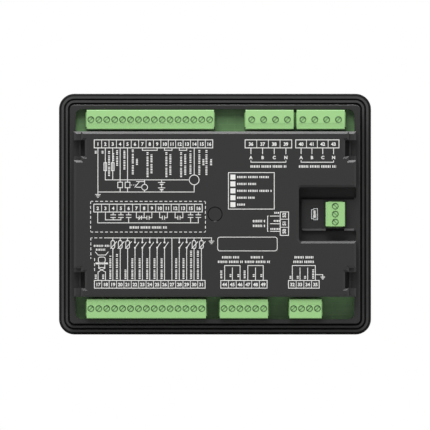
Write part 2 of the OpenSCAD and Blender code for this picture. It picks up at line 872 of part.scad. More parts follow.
// Solid under the port bay that carries its floor and platform
module bay_tray() {
    z0 = bay_floor - tray_wall;
    translate([bay_x - case_wall, -bay_h / 2 - case_wall, z0])
        cube([bay_w + case_wall + block_inset - case_wall / 2, bay_h + 2 * case_wall, rim_z - z0]);
}

module platform_outline(inset) {
    x0 = bay_x + bay_gap + inset;
    x1 = body_w;
    h = platform_h - 2 * inset;
    translate([(x0 + x1) / 2, 0]) outline(x1 - x0, h, platform_corner);
}

// Chamfers along the upper and lower edge of the platform
module platform_edges() {
    x0 = bay_x + bay_gap / 2;
    x1 = block_w / 2 - platform_corner;
    side = platform_chamfer * sqrt(2);
    for (s = [-1, 1]) translate([(x0 + x1) / 2, s * platform_h / 2, rim_z]) rotate([45, 0, 0])
        cube([x1 - x0, side, side], center = true);
}

// What is left standing in the bay's inner corners, so that they are round up to the chamfered mouth
module bay_corners() {
    reach = bay_corner + block_chamfer + past;
    mouth = block_z - block_chamfer;
    for (s = [0, 1]) mirror([0, s, 0]) translate([bay_x + bay_corner, bay_h / 2 - bay_corner, 0])
        difference() {
            translate([-reach, 0, rim_z - past]) cube([reach, reach, block_z - rim_z + 2 * past]);
            at_z(rim_z - 2 * past) cylinder(r = bay_corner, h = mouth - rim_z + 2 * past);
            at_z(mouth)
                cylinder(r1 = bay_corner, r2 = bay_corner + block_chamfer + 2 * past,
                    h = block_chamfer + 2 * past);
        }
}

// Everything cut out at the port bay
module port_bay() {
    platform_edges();
    difference() {
        flared_pocket([bay_x, body_w], [-bay_h / 2, bay_h / 2], rim_z, block_z, block_chamfer);
        bay_corners();
    }
    at_z(bay_floor) linear_extrude(rim_z) difference() {
        translate([bay_x + bay_w / 2, 0]) outline(bay_w, bay_h, bay_corner);
        platform_outline(0);
    }
    at_z(bay_floor - tray_wall - past) linear_extrude(rim_z - bay_floor + past + tray_wall - platform_wall)
        intersection() {
            platform_outline(platform_wall);
            translate([0, -flange_h / 2]) square([block_w / 2 - case_wall / 2, flange_h]);
        }
    at_z(bay_floor) linear_extrude(block_z) {
        translate([port_x, 0]) square([port_w + 2 * case_fit, port_h + 2 * case_fit], center = true);
        translate([serial_x, 0])
            square([plug_t + 4 * case_fit,
                header_len(serial_poles, fine_pitch) + 2 * case_fit], center = true);
    }
}

// Seats for the bezel's snap noses
module snap_seats() {
    for (sx = [-1, 1], sy = [-1, 1]) {
        translate([sx * skirt_w / 4, sy * (skirt_h / 2), snap_z]) snap_nose(snap_len, snap_depth, case_fit);
        translate([sx * (skirt_w / 2), sy * skirt_h / 4, snap_z]) rotate([0, 0, 90])
            snap_nose(snap_len, snap_depth, case_fit);
    }
}

// Rubber ring in the channel of the flange
module panel_gasket() {
    inner_w = body_w + 2 * seal_gap;
    inner_h = body_h + 2 * seal_gap;
    inner_r = body_corner + seal_gap;
    color("#444444") upright() difference() {
        soft_slab(inner_w + 2 * seal_w, inner_h + 2 * seal_w, inner_r + seal_w, floor_z, 0, 0, seal_round);
        panel(inner_w, inner_h, inner_r, floor_z - past, past);
    }
}

// Socket soldered to the board, open to the rear
module header(t) {
    len = header_len(t[0], t[1]);
    color(terminal_green) upright() on_board(t) difference() {
        bar([-len / 2, len / 2], [-header_t / 2, header_t / 2], [0, header_h]);
        bar([header_wall - len / 2, len / 2 - header_wall],
            [header_wall - header_t / 2, header_t / 2 - header_wall], [header_floor, header_h + past]);
        each_pole(t) pin_hole(header_floor + eps);
    }
}

module output_header() { header(output_t); }
module generator_header() { header(generator_t); }
module mains_header() { header(mains_t); }
module input_header() { header(input_t); }
module bus_header() { header(bus_t); }
module current_header() { header(current_t); }
module serial_header() { header(serial_t); }

// Contact pins of all headers
module header_pins() {
    color("#c9a64a") upright() for (t = terminals) on_board(t) each_pole(t)
        bar([-pin_w / 2, pin_w / 2], [-pin_w / 2, pin_w / 2], [-board_t - pin_tail, pin_top]);
}

// Body of a pluggable screw terminal: a head with wells and wire entries on a tongue for the header
module plug(t) {
    len = t[0] * t[1] + plug_extra;
    tongue_len = header_len(t[0], t[1]) - 2 * header_wall - 2 * plug_fit;
    color(terminal_green) upright() on_board(t) difference() {
        union() {
            at_z(head_base) rotate([90, 0, 90]) linear_extrude(len, center = true)
                chamfer_section(plug_t, 0, head_top - head_base, plug_chamfer);
            bar([-tongue_len / 2, tongue_len / 2], [-tongue_t / 2, tongue_t / 2],
                [tongue_base, head_base + eps]);
        }
        bar([groove_end - len / 2, len / 2 - groove_end],
            [groove_edge - plug_t / 2, groove_edge + groove_w - plug_t / 2],
            [head_top - groove_depth, head_top + past]);
        each_pole(t) pole_cuts();
    }
}

// Screw well, wire entry, clamp seat and pin socket of one pole
module pole_cuts() {
    seat = entry_w / 2;
    at_z(cage_base) cylinder(d = well_d, h = head_top);
    bar([-seat, seat], [cage_in - screw_fit, cage_in + cage_depth + screw_fit],
        [cage_base - screw_fit, cage_base + cage_h + screw_fit]);
    bar([-seat, seat], [0, plug_t], [cage_base, cage_base + entry_h]);
    sleeve = sleeve_w + 2 * screw_fit;
    at_z(tongue_base - past) linear_extrude(cage_base - tongue_base + past) square(sleeve, center = true);
}

module output_plug() { plug(output_t); }
module generator_plug() { plug(generator_t); }
module mains_plug() { plug(mains_t); }
module input_plug() { plug(input_t); }
module bus_plug() { plug(bus_t); }
module current_plug() { plug(current_t); }
module serial_plug() { plug(serial_t); }

// Slotted clamp screws of a plug
module plug_screws(t) {
    head_z = head_top - screw_sink - screw_head_h;
    shank_z = cage_base + entry_h - clamp_reach;
    color(screw_green) upright() on_board(t) each_pole(t) difference() {
        union() {
            at_z(head_z) cylinder(d = well_d - 4 * screw_fit, h = screw_head_h);
            at_z(shank_z) cylinder(d = clamp_screw_d, h = head_z + eps - shank_z);
        }
        at_z(head_top - screw_sink) rotate([0, 0, screw_turn])
            cube([well_d, drive_w, 2 * drive_depth], center = true);
    }
}

module output_plug_screws() { plug_screws(output_t); }
module generator_plug_screws() { plug_screws(generator_t); }
module mains_plug_screws() { plug_screws(mains_t); }
module input_plug_screws() { plug_screws(input_t); }
module bus_plug_screws() { plug_screws(bus_t); }
module current_plug_screws() { plug_screws(current_t); }
module serial_plug_screws() { plug_screws(serial_t); }

// Wire clamps of a plug, each with the sleeve that takes the header's pin
module plug_clamps(t) {
    seat = entry_w / 2 - screw_fit;
    sleeve = sleeve_w / 2;
    color("#b9bdb6") upright() on_board(t) each_pole(t) difference() {
        union() {
            bar([-seat, seat], [cage_in, cage_in + cage_depth], [cage_base, cage_base + cage_h]);
            bar([-sleeve, sleeve], [-sleeve, sleeve], [tongue_base + sleeve_lift, cage_base + eps]);
        }
        bar([clamp_wall - seat, seat - clamp_wall], [cage_in - past, cage_in + cage_depth + past],
            [cage_base + clamp_wall, cage_base + entry_h - clamp_wall]);
        at_z(cage_base + clamp_wall) cylinder(d = clamp_screw_d + 2 * screw_fit, h = cage_h);
        at_z(tongue_base) linear_extrude(pin_top + sleeve_lift - tongue_base)
            square(pin_w + 3 * screw_fit, center = true);
    }
}

module output_plug_clamps() { plug_clamps(output_t); }
module generator_plug_clamps() { plug_clamps(generator_t); }
module mains_plug_clamps() { plug_clamps(mains_t); }
module input_plug_clamps() { plug_clamps(input_t); }
module bus_plug_clamps() { plug_clamps(bus_t); }
module current_plug_clamps() { plug_clamps(current_t); }
module serial_plug_clamps() { plug_clamps(serial_t); }

front_bezel();
front_fascia();
display_window();
lcd_frame();
lcd_glass();
display_board();
key_switches();
status_leds();
led_lenses();
stop_key();
manual_key();
auto_key();
test_key();
start_key();
up_key();
down_key();
enter_key();
board_standoffs();
link_socket();
link_header();
main_board();
board_screws();
output_relays();
supply_capacitors();
board_chips();
usb_shell();
usb_insulator();
rear_case();
panel_gasket();
output_header();
generator_header();
mains_header();
input_header();
bus_header();
current_header();
serial_header();
header_pins();
output_plug();
generator_plug();
mains_plug();
input_plug();
bus_plug();
current_plug();
serial_plug();
output_plug_screws();
generator_plug_screws();
mains_plug_screws();
input_plug_screws();
bus_plug_screws();
current_plug_screws();
serial_plug_screws();
output_plug_clamps();
generator_plug_clamps();
mains_plug_clamps();
input_plug_clamps();
bus_plug_clamps();
current_plug_clamps();
serial_plug_clamps();
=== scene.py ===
import math

import bmesh
import bpy
from mathutils import Matrix, Vector


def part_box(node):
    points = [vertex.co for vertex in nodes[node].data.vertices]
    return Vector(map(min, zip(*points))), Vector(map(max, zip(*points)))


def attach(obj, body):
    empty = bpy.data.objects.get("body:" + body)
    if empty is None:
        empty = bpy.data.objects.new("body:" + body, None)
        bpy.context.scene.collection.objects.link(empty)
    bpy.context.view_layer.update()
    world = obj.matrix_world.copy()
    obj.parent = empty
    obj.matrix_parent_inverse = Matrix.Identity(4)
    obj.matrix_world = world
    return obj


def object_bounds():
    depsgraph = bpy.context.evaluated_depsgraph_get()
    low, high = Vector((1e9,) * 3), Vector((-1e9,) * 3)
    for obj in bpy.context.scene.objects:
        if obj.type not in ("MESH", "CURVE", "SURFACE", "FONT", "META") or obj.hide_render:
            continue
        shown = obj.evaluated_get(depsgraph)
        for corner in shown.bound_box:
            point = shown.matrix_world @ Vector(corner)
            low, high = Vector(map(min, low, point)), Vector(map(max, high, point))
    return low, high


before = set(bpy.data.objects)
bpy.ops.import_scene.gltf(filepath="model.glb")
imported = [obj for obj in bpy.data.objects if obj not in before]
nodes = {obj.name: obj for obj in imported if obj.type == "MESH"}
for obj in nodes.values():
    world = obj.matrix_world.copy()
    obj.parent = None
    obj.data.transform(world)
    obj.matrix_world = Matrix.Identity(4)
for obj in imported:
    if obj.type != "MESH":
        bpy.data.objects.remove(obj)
cad_low, cad_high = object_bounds()
scene = bpy.context.scene
mm = 0.001


# The view. The unit is seen square on from its terminal side, as flat as a drawing, so the camera is
# orthographic and a pixel is the same length all over the picture.
picture_px = 430
flange_px = 312.0
flange_middle_px = 214.15
camera_away = 0.9
flange_low, flange_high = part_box("front_bezel")
metres_per_px = (flange_high.x - flange_low.x) / flange_px
camera = bpy.data.objects.new("camera", bpy.data.cameras.new("camera"))
camera.data.type = "ORTHO"
camera.data.ortho_scale = picture_px * metres_per_px
camera.location = (0, -camera_away, (flange_middle_px - picture_px / 2) * metres_per_px)
camera.rotation_euler = (math.radians(90), 0, 0)
scene.collection.objects.link(camera)
scene.camera = camera
scene.view_settings.view_transform = "Standard"


# The studio: a pale floor under the unit, a white surround, a large lamp before the terminals, a low one
# that lifts the shadows, and a bank overhead that draws bright lines along the chamfers that face up; the
# case's chamfers are also painted lighter.
def put(tree, kind, sockets, **settings):
    """A shader node with its settings, and with its sockets set to values or to other nodes' outputs."""
    node = tree.nodes.new(kind)
    for name, value in settings.items():
        setattr(node, name, value)
    for name, value in sockets.items():
        if isinstance(value, bpy.types.NodeSocket):
            tree.links.new(value, node.inputs[name])
        else:
            node.inputs[name].default_value = value
    return node


def calc(tree, operation, *values, use_clamp=False):
    """The result of a math node."""
    return put(tree, "ShaderNodeMath", dict(enumerate(values)), operation=operation,
               use_clamp=use_clamp).outputs[0]


def mix(tree, share, first, second):
    """A colour between two colours."""
    return put(tree, "ShaderNodeMix", {0: share, 6: first, 7: second}, data_type="RGBA").outputs[2]


def noise(tree, **sockets):
    """A noise pattern, with its sockets set by name."""
    return put(tree, "ShaderNodeTexNoise", sockets).outputs[0]


def linear(red, green, blue):
    """A colour of 0 to 255 as the eye sees it, as the linear colour that a shader takes."""
    def channel(value):
        share = value / 255
        return share / 12.92 if share <= 0.04045 else ((share + 0.055) / 1.055) ** 2.4
    return (channel(red), channel(green), channel(blue), 1)


def new_material(name):
    """An empty material and its node tree."""
    material = bpy.data.materials.new(name)
    material.use_nodes = True
    material.node_tree.nodes.clear()
    return material, material.node_tree


def sees_background(tree):
    """1 for the rays that show the background: those of the camera, of mirror gloss and of clear pieces."""
    path = put(tree, "ShaderNodeLightPath", {}).outputs
    straight = calc(tree, "ADD", path["Is Camera Ray"], path["Is Glossy Ray"])
    return calc(tree, "ADD", straight, path["Is Transmission Ray"], use_clamp=True)


surround_light = 0.42
scene.world = bpy.data.worlds.new("surround")
scene.world.use_nodes = True
surround = scene.world.node_tree
surround.nodes.clear()
surround_colour = mix(surround, sees_background(surround), (surround_light,) * 3 + (1,), (1, 1, 1, 1))
background = put(surround, "ShaderNodeBackground", {"Color": surround_colour, "Strength": 1.0})
put(surround, "ShaderNodeOutputWorld", {"Surface": background.outputs[0]})

floor_half = 2.0
floor_mesh = bpy.data.meshes.new("floor")
floor_mesh.from_pydata([(x * floor_half, y * floor_half, cad_low.z)
                        for x, y in ((-1, -1), (1, -1), (1, 1), (-1, 1))], [], [(0, 1, 2, 3)])
floor = bpy.data.objects.new("floor", floor_mesh)
scene.collection.objects.link(floor)
floor_paint, paint = new_material("pale floor")
floor_colour = mix(paint, noise(paint, Scale=3.0, Detail=2.0), linear(216, 216, 215), linear(222, 222, 221))
floor_surface = put(paint, "ShaderNodeBsdfPrincipled",
                    {"Base Color": floor_colour, "Roughness": 0.7, "Specular IOR Level": 0.2})
floor_side = put(paint, "ShaderNodeNewGeometry", {}).outputs["Backfacing"]
floor_path = put(paint, "ShaderNodeLightPath", {}).outputs
floor_rays = calc(paint, "MAXIMUM", floor_path["Is Shadow Ray"], floor_path["Is Diffuse Ray"])
floor_shown = put(paint, "ShaderNodeMixShader",
                  {0: calc(paint, "MAXIMUM", floor_side, floor_rays), 1: floor_surface.outputs[0],
                   2: put(paint, "ShaderNodeBsdfTransparent", {}).outputs[0]})
put(paint, "ShaderNodeOutputMaterial", {"Surface": floor_shown.outputs[0]})
floor_mesh.materials.append(floor_paint)


def soft_lamp(name, place, target, width, height, power):
    """A rectangular soft lamp at a place, turned to a target; in metres and watts."""
    lamp = bpy.data.lights.new(name, "AREA")
    lamp.shape = "RECTANGLE"
    lamp.size = width
    lamp.size_y = height
    lamp.energy = power
    holder = bpy.data.objects.new(name, lamp)
    holder.location = place
    holder.rotation_euler = (Vector(target) - Vector(place)).to_track_quat("-Z", "Y").to_euler()
    scene.collection.objects.link(holder)


soft_lamp("terminal lamp", (-0.1, -1.14, 1.0), (0, 0, 0), width=0.5, height=0.85, power=16.6)
soft_lamp("low lamp", (0, -0.69, -0.98), (0, 0, 0), width=0.8, height=0.4, power=3.4)
soft_lamp("overhead bank", (0, -0.12, 0.9), (0, -0.04, 0), width=0.36, height=0.2, power=3.6)
soft_lamp("display lamp", (0.3, 1.4, 0.7), (0, 0, 0), width=0.9, height=0.6, power=14)


# Front bezel. The frame of the display side with the panel flange, injection moulded in black plastic
# with a fine grain; it carries both boards and snaps into the rear case. Its flats that face the rear are
# painted grey as a sheen, and its outer rim is left black as painted shade.
def new_group(name, sockets, results):
    """An empty shader group with its sockets, as {label: value}, and its results: Colour, and numbers."""
    group = bpy.data.node_groups.new(name, "ShaderNodeTree")
    kinds = {3: "NodeSocketVector", 4: "NodeSocketColor"}
    for label, value in sockets.items():
        kind = kinds[len(value)] if isinstance(value, tuple) else "NodeSocketFloat"
        group.interface.new_socket(name=label, in_out="INPUT", socket_type=kind).default_value = value
    for label in results:
        kind = "NodeSocketColor" if label == "Colour" else "NodeSocketFloat"
        group.interface.new_socket(name=label, in_out="OUTPUT", socket_type=kind)
    return group, put(group, "NodeGroupInput", {}).outputs


def grouped(tree, group, sockets):
    """The results of a shader group with its sockets set."""
    return put(tree, "ShaderNodeGroup", sockets, node_tree=group).outputs


def vector_calc(tree, operation, *values):
    """The result of a vector math node; a number for a length or a dot product."""
    sockets = {0: values[0], "Scale": values[1]} if operation == "SCALE" else dict(enumerate(values))
    node = put(tree, "ShaderNodeVectorMath", sockets, operation=operation)
    return node.outputs["Value" if operation in ("LENGTH", "DOT_PRODUCT") else "Vector"]


def object_spot(tree):
    """The place of a point on its own piece."""
    return put(tree, "ShaderNodeTexCoord", {}).outputs["Object"]


def three_ways(tree, vector):
    """The parts of a vector across, in depth and up."""
    return put(tree, "ShaderNodeSeparateXYZ", {0: vector}).outputs


def faces_between(tree, least, most):
    """1 for the faces that look to the rear by more than the least and less than the most."""
    normal = put(tree, "ShaderNodeTexCoord", {}).outputs["Normal"]
    facing = calc(tree, "MULTIPLY", three_ways(tree, normal)[1], -1.0)
    enough = calc(tree, "GREATER_THAN", facing, least)
    return calc(tree, "MULTIPLY", enough, calc(tree, "LESS_THAN", facing, most))


unset = (0.5, 0.5, 0.5, 1)
moulded_grain, given = new_group(
    "moulded grain", {"Colour": unset, "Grain": 2000.0, "Mottle": 0.1, "Roughness": 0.5, "Spread": 0.1},
    ["Colour", "Roughness", "Height"])
spot = object_spot(moulded_grain)
pebble = noise(moulded_grain, Vector=spot, Scale=given["Grain"], Detail=3.0)
flow = noise(moulded_grain, Vector=spot, Scale=28.0, Detail=4.0)
swing = calc(moulded_grain, "SUBTRACT", calc(moulded_grain, "ADD", flow, pebble), 1.0)
tone = calc(moulded_grain, "MULTIPLY_ADD", swing, given["Mottle"], 1.0)
put(moulded_grain, "NodeGroupOutput",
    {"Colour": vector_calc(moulded_grain, "SCALE", given["Colour"], tone),
     "Roughness": calc(moulded_grain, "MULTIPLY_ADD", swing, given["Spread"], given["Roughness"]),
     "Height": pebble})

# Light painted by facing: faces that look to the rear by a given amount, not deeper than a depth and inset
# from the flange's outline, get a second colour made patchy by a noise; it paints a sheen or highlight on
# them.
flange_corner = 9.7 * mm
flange_straight = (flange_high.x - flange_corner, 0, flange_high.z - flange_corner)
facing_paint, given = new_group(
    "light painted by facing",
    {"Colour": unset, "Turned": unset, "Roughness": 0.5, "Turned roughness": 0.5, "Least": 0.5, "Most": 0.9,
     "Depth": 1.0, "Inset": 0.0}, ["Colour", "Roughness"])
spot = object_spot(facing_paint)
shallow = calc(facing_paint, "LESS_THAN", three_ways(facing_paint, spot)[1], given["Depth"])
quarter = vector_calc(facing_paint, "ABSOLUTE", vector_calc(facing_paint, "MULTIPLY", spot, (1, 0, 1)))
past = vector_calc(facing_paint, "SUBTRACT", quarter, flange_straight)
round_reach = vector_calc(facing_paint, "LENGTH", vector_calc(facing_paint, "MAXIMUM", past, (0, 0, 0)))
past_sides = three_ways(facing_paint, past)
nearer = calc(facing_paint, "MAXIMUM", past_sides[0], past_sides[2])
reach = calc(facing_paint, "ADD", round_reach, calc(facing_paint, "MINIMUM", nearer, 0.0))
inset = calc(facing_paint, "SUBTRACT", flange_corner, reach)
inside = calc(facing_paint, "GREATER_THAN", inset, given["Inset"])
rearward = calc(facing_paint, "MULTIPLY", faces_between(facing_paint, given["Least"], given["Most"]), shallow)
chosen = calc(facing_paint, "MULTIPLY", rearward, inside)
paint_patchiness = noise(facing_paint, Vector=spot, Scale=150.0)
patchy = calc(facing_paint, "MULTIPLY_ADD", paint_patchiness, 0.3, 0.8, use_clamp=True)
share = calc(facing_paint, "MULTIPLY", chosen, patchy)
polish = put(facing_paint, "ShaderNodeMix",
             {0: chosen, 2: given["Roughness"], 3: given["Turned roughness"]}, data_type="FLOAT").outputs[0]
put(facing_paint, "NodeGroupOutput",
    {"Colour": mix(facing_paint, share, given["Colour"], given["Turned"]), "Roughness": polish})


def end_material(tree, sockets, height=None, strength=0.1, depth=0.02):
    """Ends a material with its surface, in relief by a height; depth in millimetres."""
    surface = put(tree, "ShaderNodeBsdfPrincipled", sockets)
    if height is not None:
        relief = put(tree, "ShaderNodeBump", {"Strength": strength, "Distance": depth * mm, "Height": height})
        tree.links.new(relief.outputs[0], surface.inputs["Normal"])
    put(tree, "ShaderNodeOutputMaterial", {"Surface": surface.outputs[0]})


def moulded(name, colour, roughness, grain_mm=0.4, bump=0.2, mottle=0.12, gloss=0.4, turned=None, tint=None):
    """A moulded plastic: slightly mottled colour, uneven gloss and a fine grain of a given size.

    turned is a painted sheen or highlight: another colour and roughness for the faces that look to the
    rear by between the least and the most, as (colour, roughness, (least, most), depth, inset): down to a
    depth, and from an inset inside the flange.
    tint(tree, colour) changes the colour before it is mottled.
    """
    material, tree = new_material(name)
    if turned:
        other, polish, (least, most), depth, inset = turned
        faces = grouped(tree, facing_paint,
                        {"Colour": colour, "Turned": other, "Roughness": roughness,
                         "Turned roughness": polish, "Least": least, "Most": most, "Depth": depth * mm,
                         "Inset": inset * mm})
        colour, roughness = faces["Colour"], faces["Roughness"]
    if tint:
        colour = tint(tree, colour)
    grain = grouped(tree, moulded_grain, {"Colour": colour, "Grain": 1 / (grain_mm * mm), "Mottle": mottle,
                                          "Roughness": roughness, "Spread": 0.12})
    end_material(tree, {"Base Color": grain["Colour"], "Roughness": grain["Roughness"],
                        "Specular IOR Level": gloss}, grain["Height"], bump, depth=0.05)
    return material


def finish(names, material, edge_mm=0.0):
    """Gives CAD nodes their material, and softens their sharp edges by a small radius."""
    for name in names:
        for holder in nodes[name].material_slots:
            holder.material = material
        if edge_mm > 0:
            weld = nodes[name].modifiers.new("joined faces", "WELD")
            weld.merge_threshold = 0.002 * mm
            edge = nodes[name].modifiers.new("soft edges", "BEVEL")
            edge.width = edge_mm * mm
            edge.segments = 2
            edge.limit_method = "ANGLE"
            edge.angle_limit = math.radians(35)
            shade = nodes[name].modifiers.new("edge shading", "WEIGHTED_NORMAL")
            shade.keep_sharp = True


rear_faces = (0.9, 2.0)
# The bezel's rear-facing flats, down to a shallow depth, are painted grey as a sheen; the outer rim of the
# flange stays black as painted shade.
lip_depth, painted_shade_edge = 1.5, 1.6
finish(["front_bezel"],
       moulded("bezel plastic", linear(14, 14, 14), 0.55, grain_mm=0.5, bump=0.25, gloss=0.12,
               turned=(linear(69, 70, 69), 0.5, rear_faces, lip_depth, painted_shade_edge)))


# Front fascia. A thin satin film in the recess of the bezel, with openings for the display, the keys
# and the lamps; a fine pale line is printed around the display.
film_lift, mitre_limit, same_point = 0.02, 0.2, 0.0002


def film(name, body, material, slot_name):
    """An empty film of ink, as its name, mesh, body, material and record slot; the slot is not used."""
    return {"name": name, "shape": bmesh.new(), "body": body, "material": material, "slot": slot_name}


def closed_line(piece, points, width, plane):
    """A printed line through points and back to the first, with mitred corners."""
    shape = piece["shape"]
    count = len(points)
    lifts = (-film_lift, film_lift, film_lift, -film_lift)
    rings = []
    for i in range(count):
        before = (Vector(points[i]) - Vector(points[i - 1])).normalized()
        after = (Vector(points[(i + 1) % count]) - Vector(points[i])).normalized()
        normal = Vector((-before.y - after.y, before.x + after.x))
        normal = normal / (normal.length * max(normal.normalized().dot((-before.y, before.x)), mitre_limit))
        edges = [Vector(points[i]) + normal * side * width / 2 for side in (-1, -1, 1, 1)]
        rings.append([shape.verts.new(plane(edge.x, edge.y, lift)) for edge, lift in zip(edges, lifts)])
    for i in range(count):
        here, there = rings[i], rings[(i + 1) % count]
        for j, k in ((0, 1), (1, 2), (2, 3), (3, 0)):
            shape.faces.new((here[j], there[j], there[k], here[k]))


def arc_points(centre, radius, start=0, turn=360, parts=32):
    """Points along an arc, in degrees; a full turn doesn't repeat its first point."""
    count = parts if turn == 360 else parts + 1
    angles = [math.radians(start + turn * i / parts) for i in range(count)]
    return [(centre[0] + radius * math.cos(angle), centre[1] + radius * math.sin(angle)) for angle in angles]


def round_box(left, right, low, high, radius, parts=6):
    """The outline of a rectangle with round corners."""
    points = []
    for x, up, start in ((right - radius, high - radius, 0), (left + radius, high - radius, 90),
                         (left + radius, low + radius, 180), (right - radius, low + radius, 270)):
        points += arc_points((x, up), radius, start, 90, parts)
    return points


def settle(piece):
    """Makes the printed film an object on its body."""
    shape = piece["shape"]
    bmesh.ops.remove_doubles(shape, verts=shape.verts, dist=same_point * mm)
    bmesh.ops.recalc_face_normals(shape, faces=shape.faces)
    mesh = bpy.data.meshes.new(piece["name"])
    shape.to_mesh(mesh)
    shape.free()
    mesh.materials.append(piece["material"])
    made = bpy.data.objects.new(piece["name"], mesh)
    scene.collection.objects.link(made)
    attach(made, piece["body"])


fascia_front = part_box("front_fascia")[1].y
view_low, view_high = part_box("lcd_glass")
pale_ink = moulded("pale ink", linear(214, 216, 216), 0.55, grain_mm=0.1, bump=0.08, mottle=0.06)


def on_fascia(x, up, lift):
    """A point of the print on the display side, in millimetres."""
    return Vector((x * mm, fascia_front + lift * mm, up * mm))


finish(["front_fascia"], moulded("fascia film", linear(58, 61, 64), 0.38, grain_mm=0.15, bump=0.12,
                                 mottle=0.05, gloss=0.5))
frame_gap, frame_line, frame_corner = 2.6, 0.5, 3.2
display_print = film("display_print", "housing", pale_ink, "print_ink")
closed_line(display_print, round_box(view_low.x / mm - frame_gap, view_high.x / mm + frame_gap,
                                     view_low.z / mm - frame_gap, view_high.z / mm + frame_gap, frame_corner),
            frame_line, on_fascia)
settle(display_print)


# Display window. A clear plate glued in the step of the bezel, flush under the fascia's opening; its
# polish is very slightly uneven.
window, tree = new_material("clear window")
haze = grouped(tree, moulded_grain, {"Colour": linear(244, 247, 246), "Grain": 900.0, "Mottle": 0.02,
                                     "Roughness": 0.03, "Spread": 0.02})
end_material(tree, {"Base Color": haze["Colour"], "Roughness": haze["Roughness"],
                    "Transmission Weight": 1.0, "IOR": 1.49})
finish(["display_window"], window)


# Display module. A grey-green liquid-crystal glass with fine cells, in a pressed and plated steel
# frame, soldered to the display board.
def bricks(tree, ground, line, scale, width, height, offset):
    """A pattern of rectangles with fine lines between them, on upright faces."""
    upright = put(tree, "ShaderNodeMapping", {"Vector": object_spot(tree),
                                              "Rotation": (math.radians(90), 0, 0)})
    return put(tree, "ShaderNodeTexBrick",
               {"Vector": upright.outputs[0], "Color1": ground, "Color2": ground, "Mortar": line,
                "Scale": scale, "Mortar Size": 0.06, "Brick Width": width, "Row Height": height},
               offset=offset).outputs


liquid_cells, given = new_group("liquid crystal cells", {"Ground": unset, "Gap": unset}, ["Colour", "Height"])
cells = bricks(liquid_cells, given["Ground"], given["Gap"], 1600.0, width=1.0, height=1.0, offset=0.0)
put(liquid_cells, "NodeGroupOutput", {"Colour": cells["Color"], "Height": cells["Fac"]})

display_glass, tree = new_material("display glass")
screen = grouped(tree, liquid_cells, {"Ground": linear(112, 140, 128), "Gap": linear(98, 126, 116)})
end_material(tree, {"Base Color": screen["Colour"], "Roughness": 0.22, "Coat Weight": 0.4,
                    "Coat Roughness": 0.08}, screen["Height"])
finish(["lcd_glass"], display_glass)

rolled_metal, given = new_group("rolled metal", {"Colour": unset, "Roughness": 0.3},
                                ["Colour", "Roughness", "Height"])
spot = object_spot(rolled_metal)
drawn = put(rolled_metal, "ShaderNodeMapping", {"Vector": spot, "Scale": (0.05, 1, 1)})
lines = noise(rolled_metal, Vector=drawn.outputs[0], Scale=4000.0, Detail=2.0)
tarnish = noise(rolled_metal, Vector=spot, Scale=220.0, Detail=3.0)
dull = calc(rolled_metal, "MULTIPLY_ADD", tarnish, 0.3, 0.85)
put(rolled_metal, "NodeGroupOutput",
    {"Colour": vector_calc(rolled_metal, "SCALE", given["Colour"], dull),
     "Roughness": calc(rolled_metal, "MULTIPLY_ADD", lines, 0.2, given["Roughness"]), "Height": lines})


def plated(name, colour, roughness, rear_highlight=None):
    """A plated or tinned metal with faint drawing lines and dull patches; the optional tone for its faces
    that look to the rear is a painted highlight.
    """
    material, tree = new_material(name)
    if rear_highlight:
        colour = grouped(tree, facing_paint, {"Colour": colour, "Turned": rear_highlight, "Least": rear_faces[0],
                                              "Most": rear_faces[1]})["Colour"]
    metal = grouped(tree, rolled_metal, {"Colour": colour, "Roughness": roughness})
    end_material(tree, {"Base Color": metal["Colour"], "Roughness": metal["Roughness"], "Metallic": 1.0},
                 metal["Height"])
    return material


finish(["lcd_frame"], plated("display frame", linear(150, 153, 156), 0.3))


# Boards. Two glass-fibre laminates with copper tracks under a green solder mask, screwed to the bezel;
# the rear one shows through the terminal windows.
board_tracks, given = new_group("board tracks", {"Mask": unset, "Track": unset}, ["Colour", "Height"])
routes = bricks(board_tracks, given["Mask"], given["Track"], 210.0, width=2.6, height=0.7, offset=0.37)
weave = noise(board_tracks, Vector=object_spot(board_tracks), Scale=120.0, Detail=4.0)
shift = calc(board_tracks, "MULTIPLY_ADD", weave, 0.5, 0.75)
put(board_tracks, "NodeGroupOutput",
    {"Colour": vector_calc(board_tracks, "SCALE", routes["Color"], shift), "Height": routes["Fac"]})

solder_mask, tree = new_material("solder mask")
tracks = grouped(tree, board_tracks, {"Mask": linear(95, 134, 85), "Track": linear(100, 140, 89)})
end_material(tree, {"Base Color": tracks["Colour"], "Roughness": 0.4, "Specular IOR Level": 0.4},
             tracks["Height"], strength=0.3, depth=0.04)
finish(["display_board", "main_board"], solder_mask)


# Parts on the boards. Push switches, lamps, relays, capacitors, chips and the strips that join the two
# boards: moulded parts soldered in place and hidden inside the closed unit.
finish(["key_switches", "link_socket", "link_header", "board_chips"],
       moulded("switch plastic", linear(34, 34, 34), 0.45, grain_mm=0.2))
finish(["status_leds"], moulded("lamp resin", linear(232, 228, 212), 0.25, grain_mm=0.2, bump=0.05))
finish(["output_relays"], moulded("relay plastic", linear(47, 79, 127), 0.35, grain_mm=0.3))
finish(["supply_capacitors"], moulded("capacitor sleeve", linear(48, 52, 58), 0.3, grain_mm=0.6, bump=0.1))
finish(["board_standoffs"], plated("brass spacer", linear(201, 178, 106), 0.28))
finish(["board_screws"], plated("zinc screw", linear(184, 188, 192), 0.3))


# Status lenses. Frosted light pipes of clear plastic, pressed into the bezel over the lamps; they show
# in openings of the fascia.
finish(["led_lenses"], moulded("lens plastic", linear(217, 220, 214), 0.28, grain_mm=0.3, bump=0.1,
                               mottle=0.05, gloss=0.5))


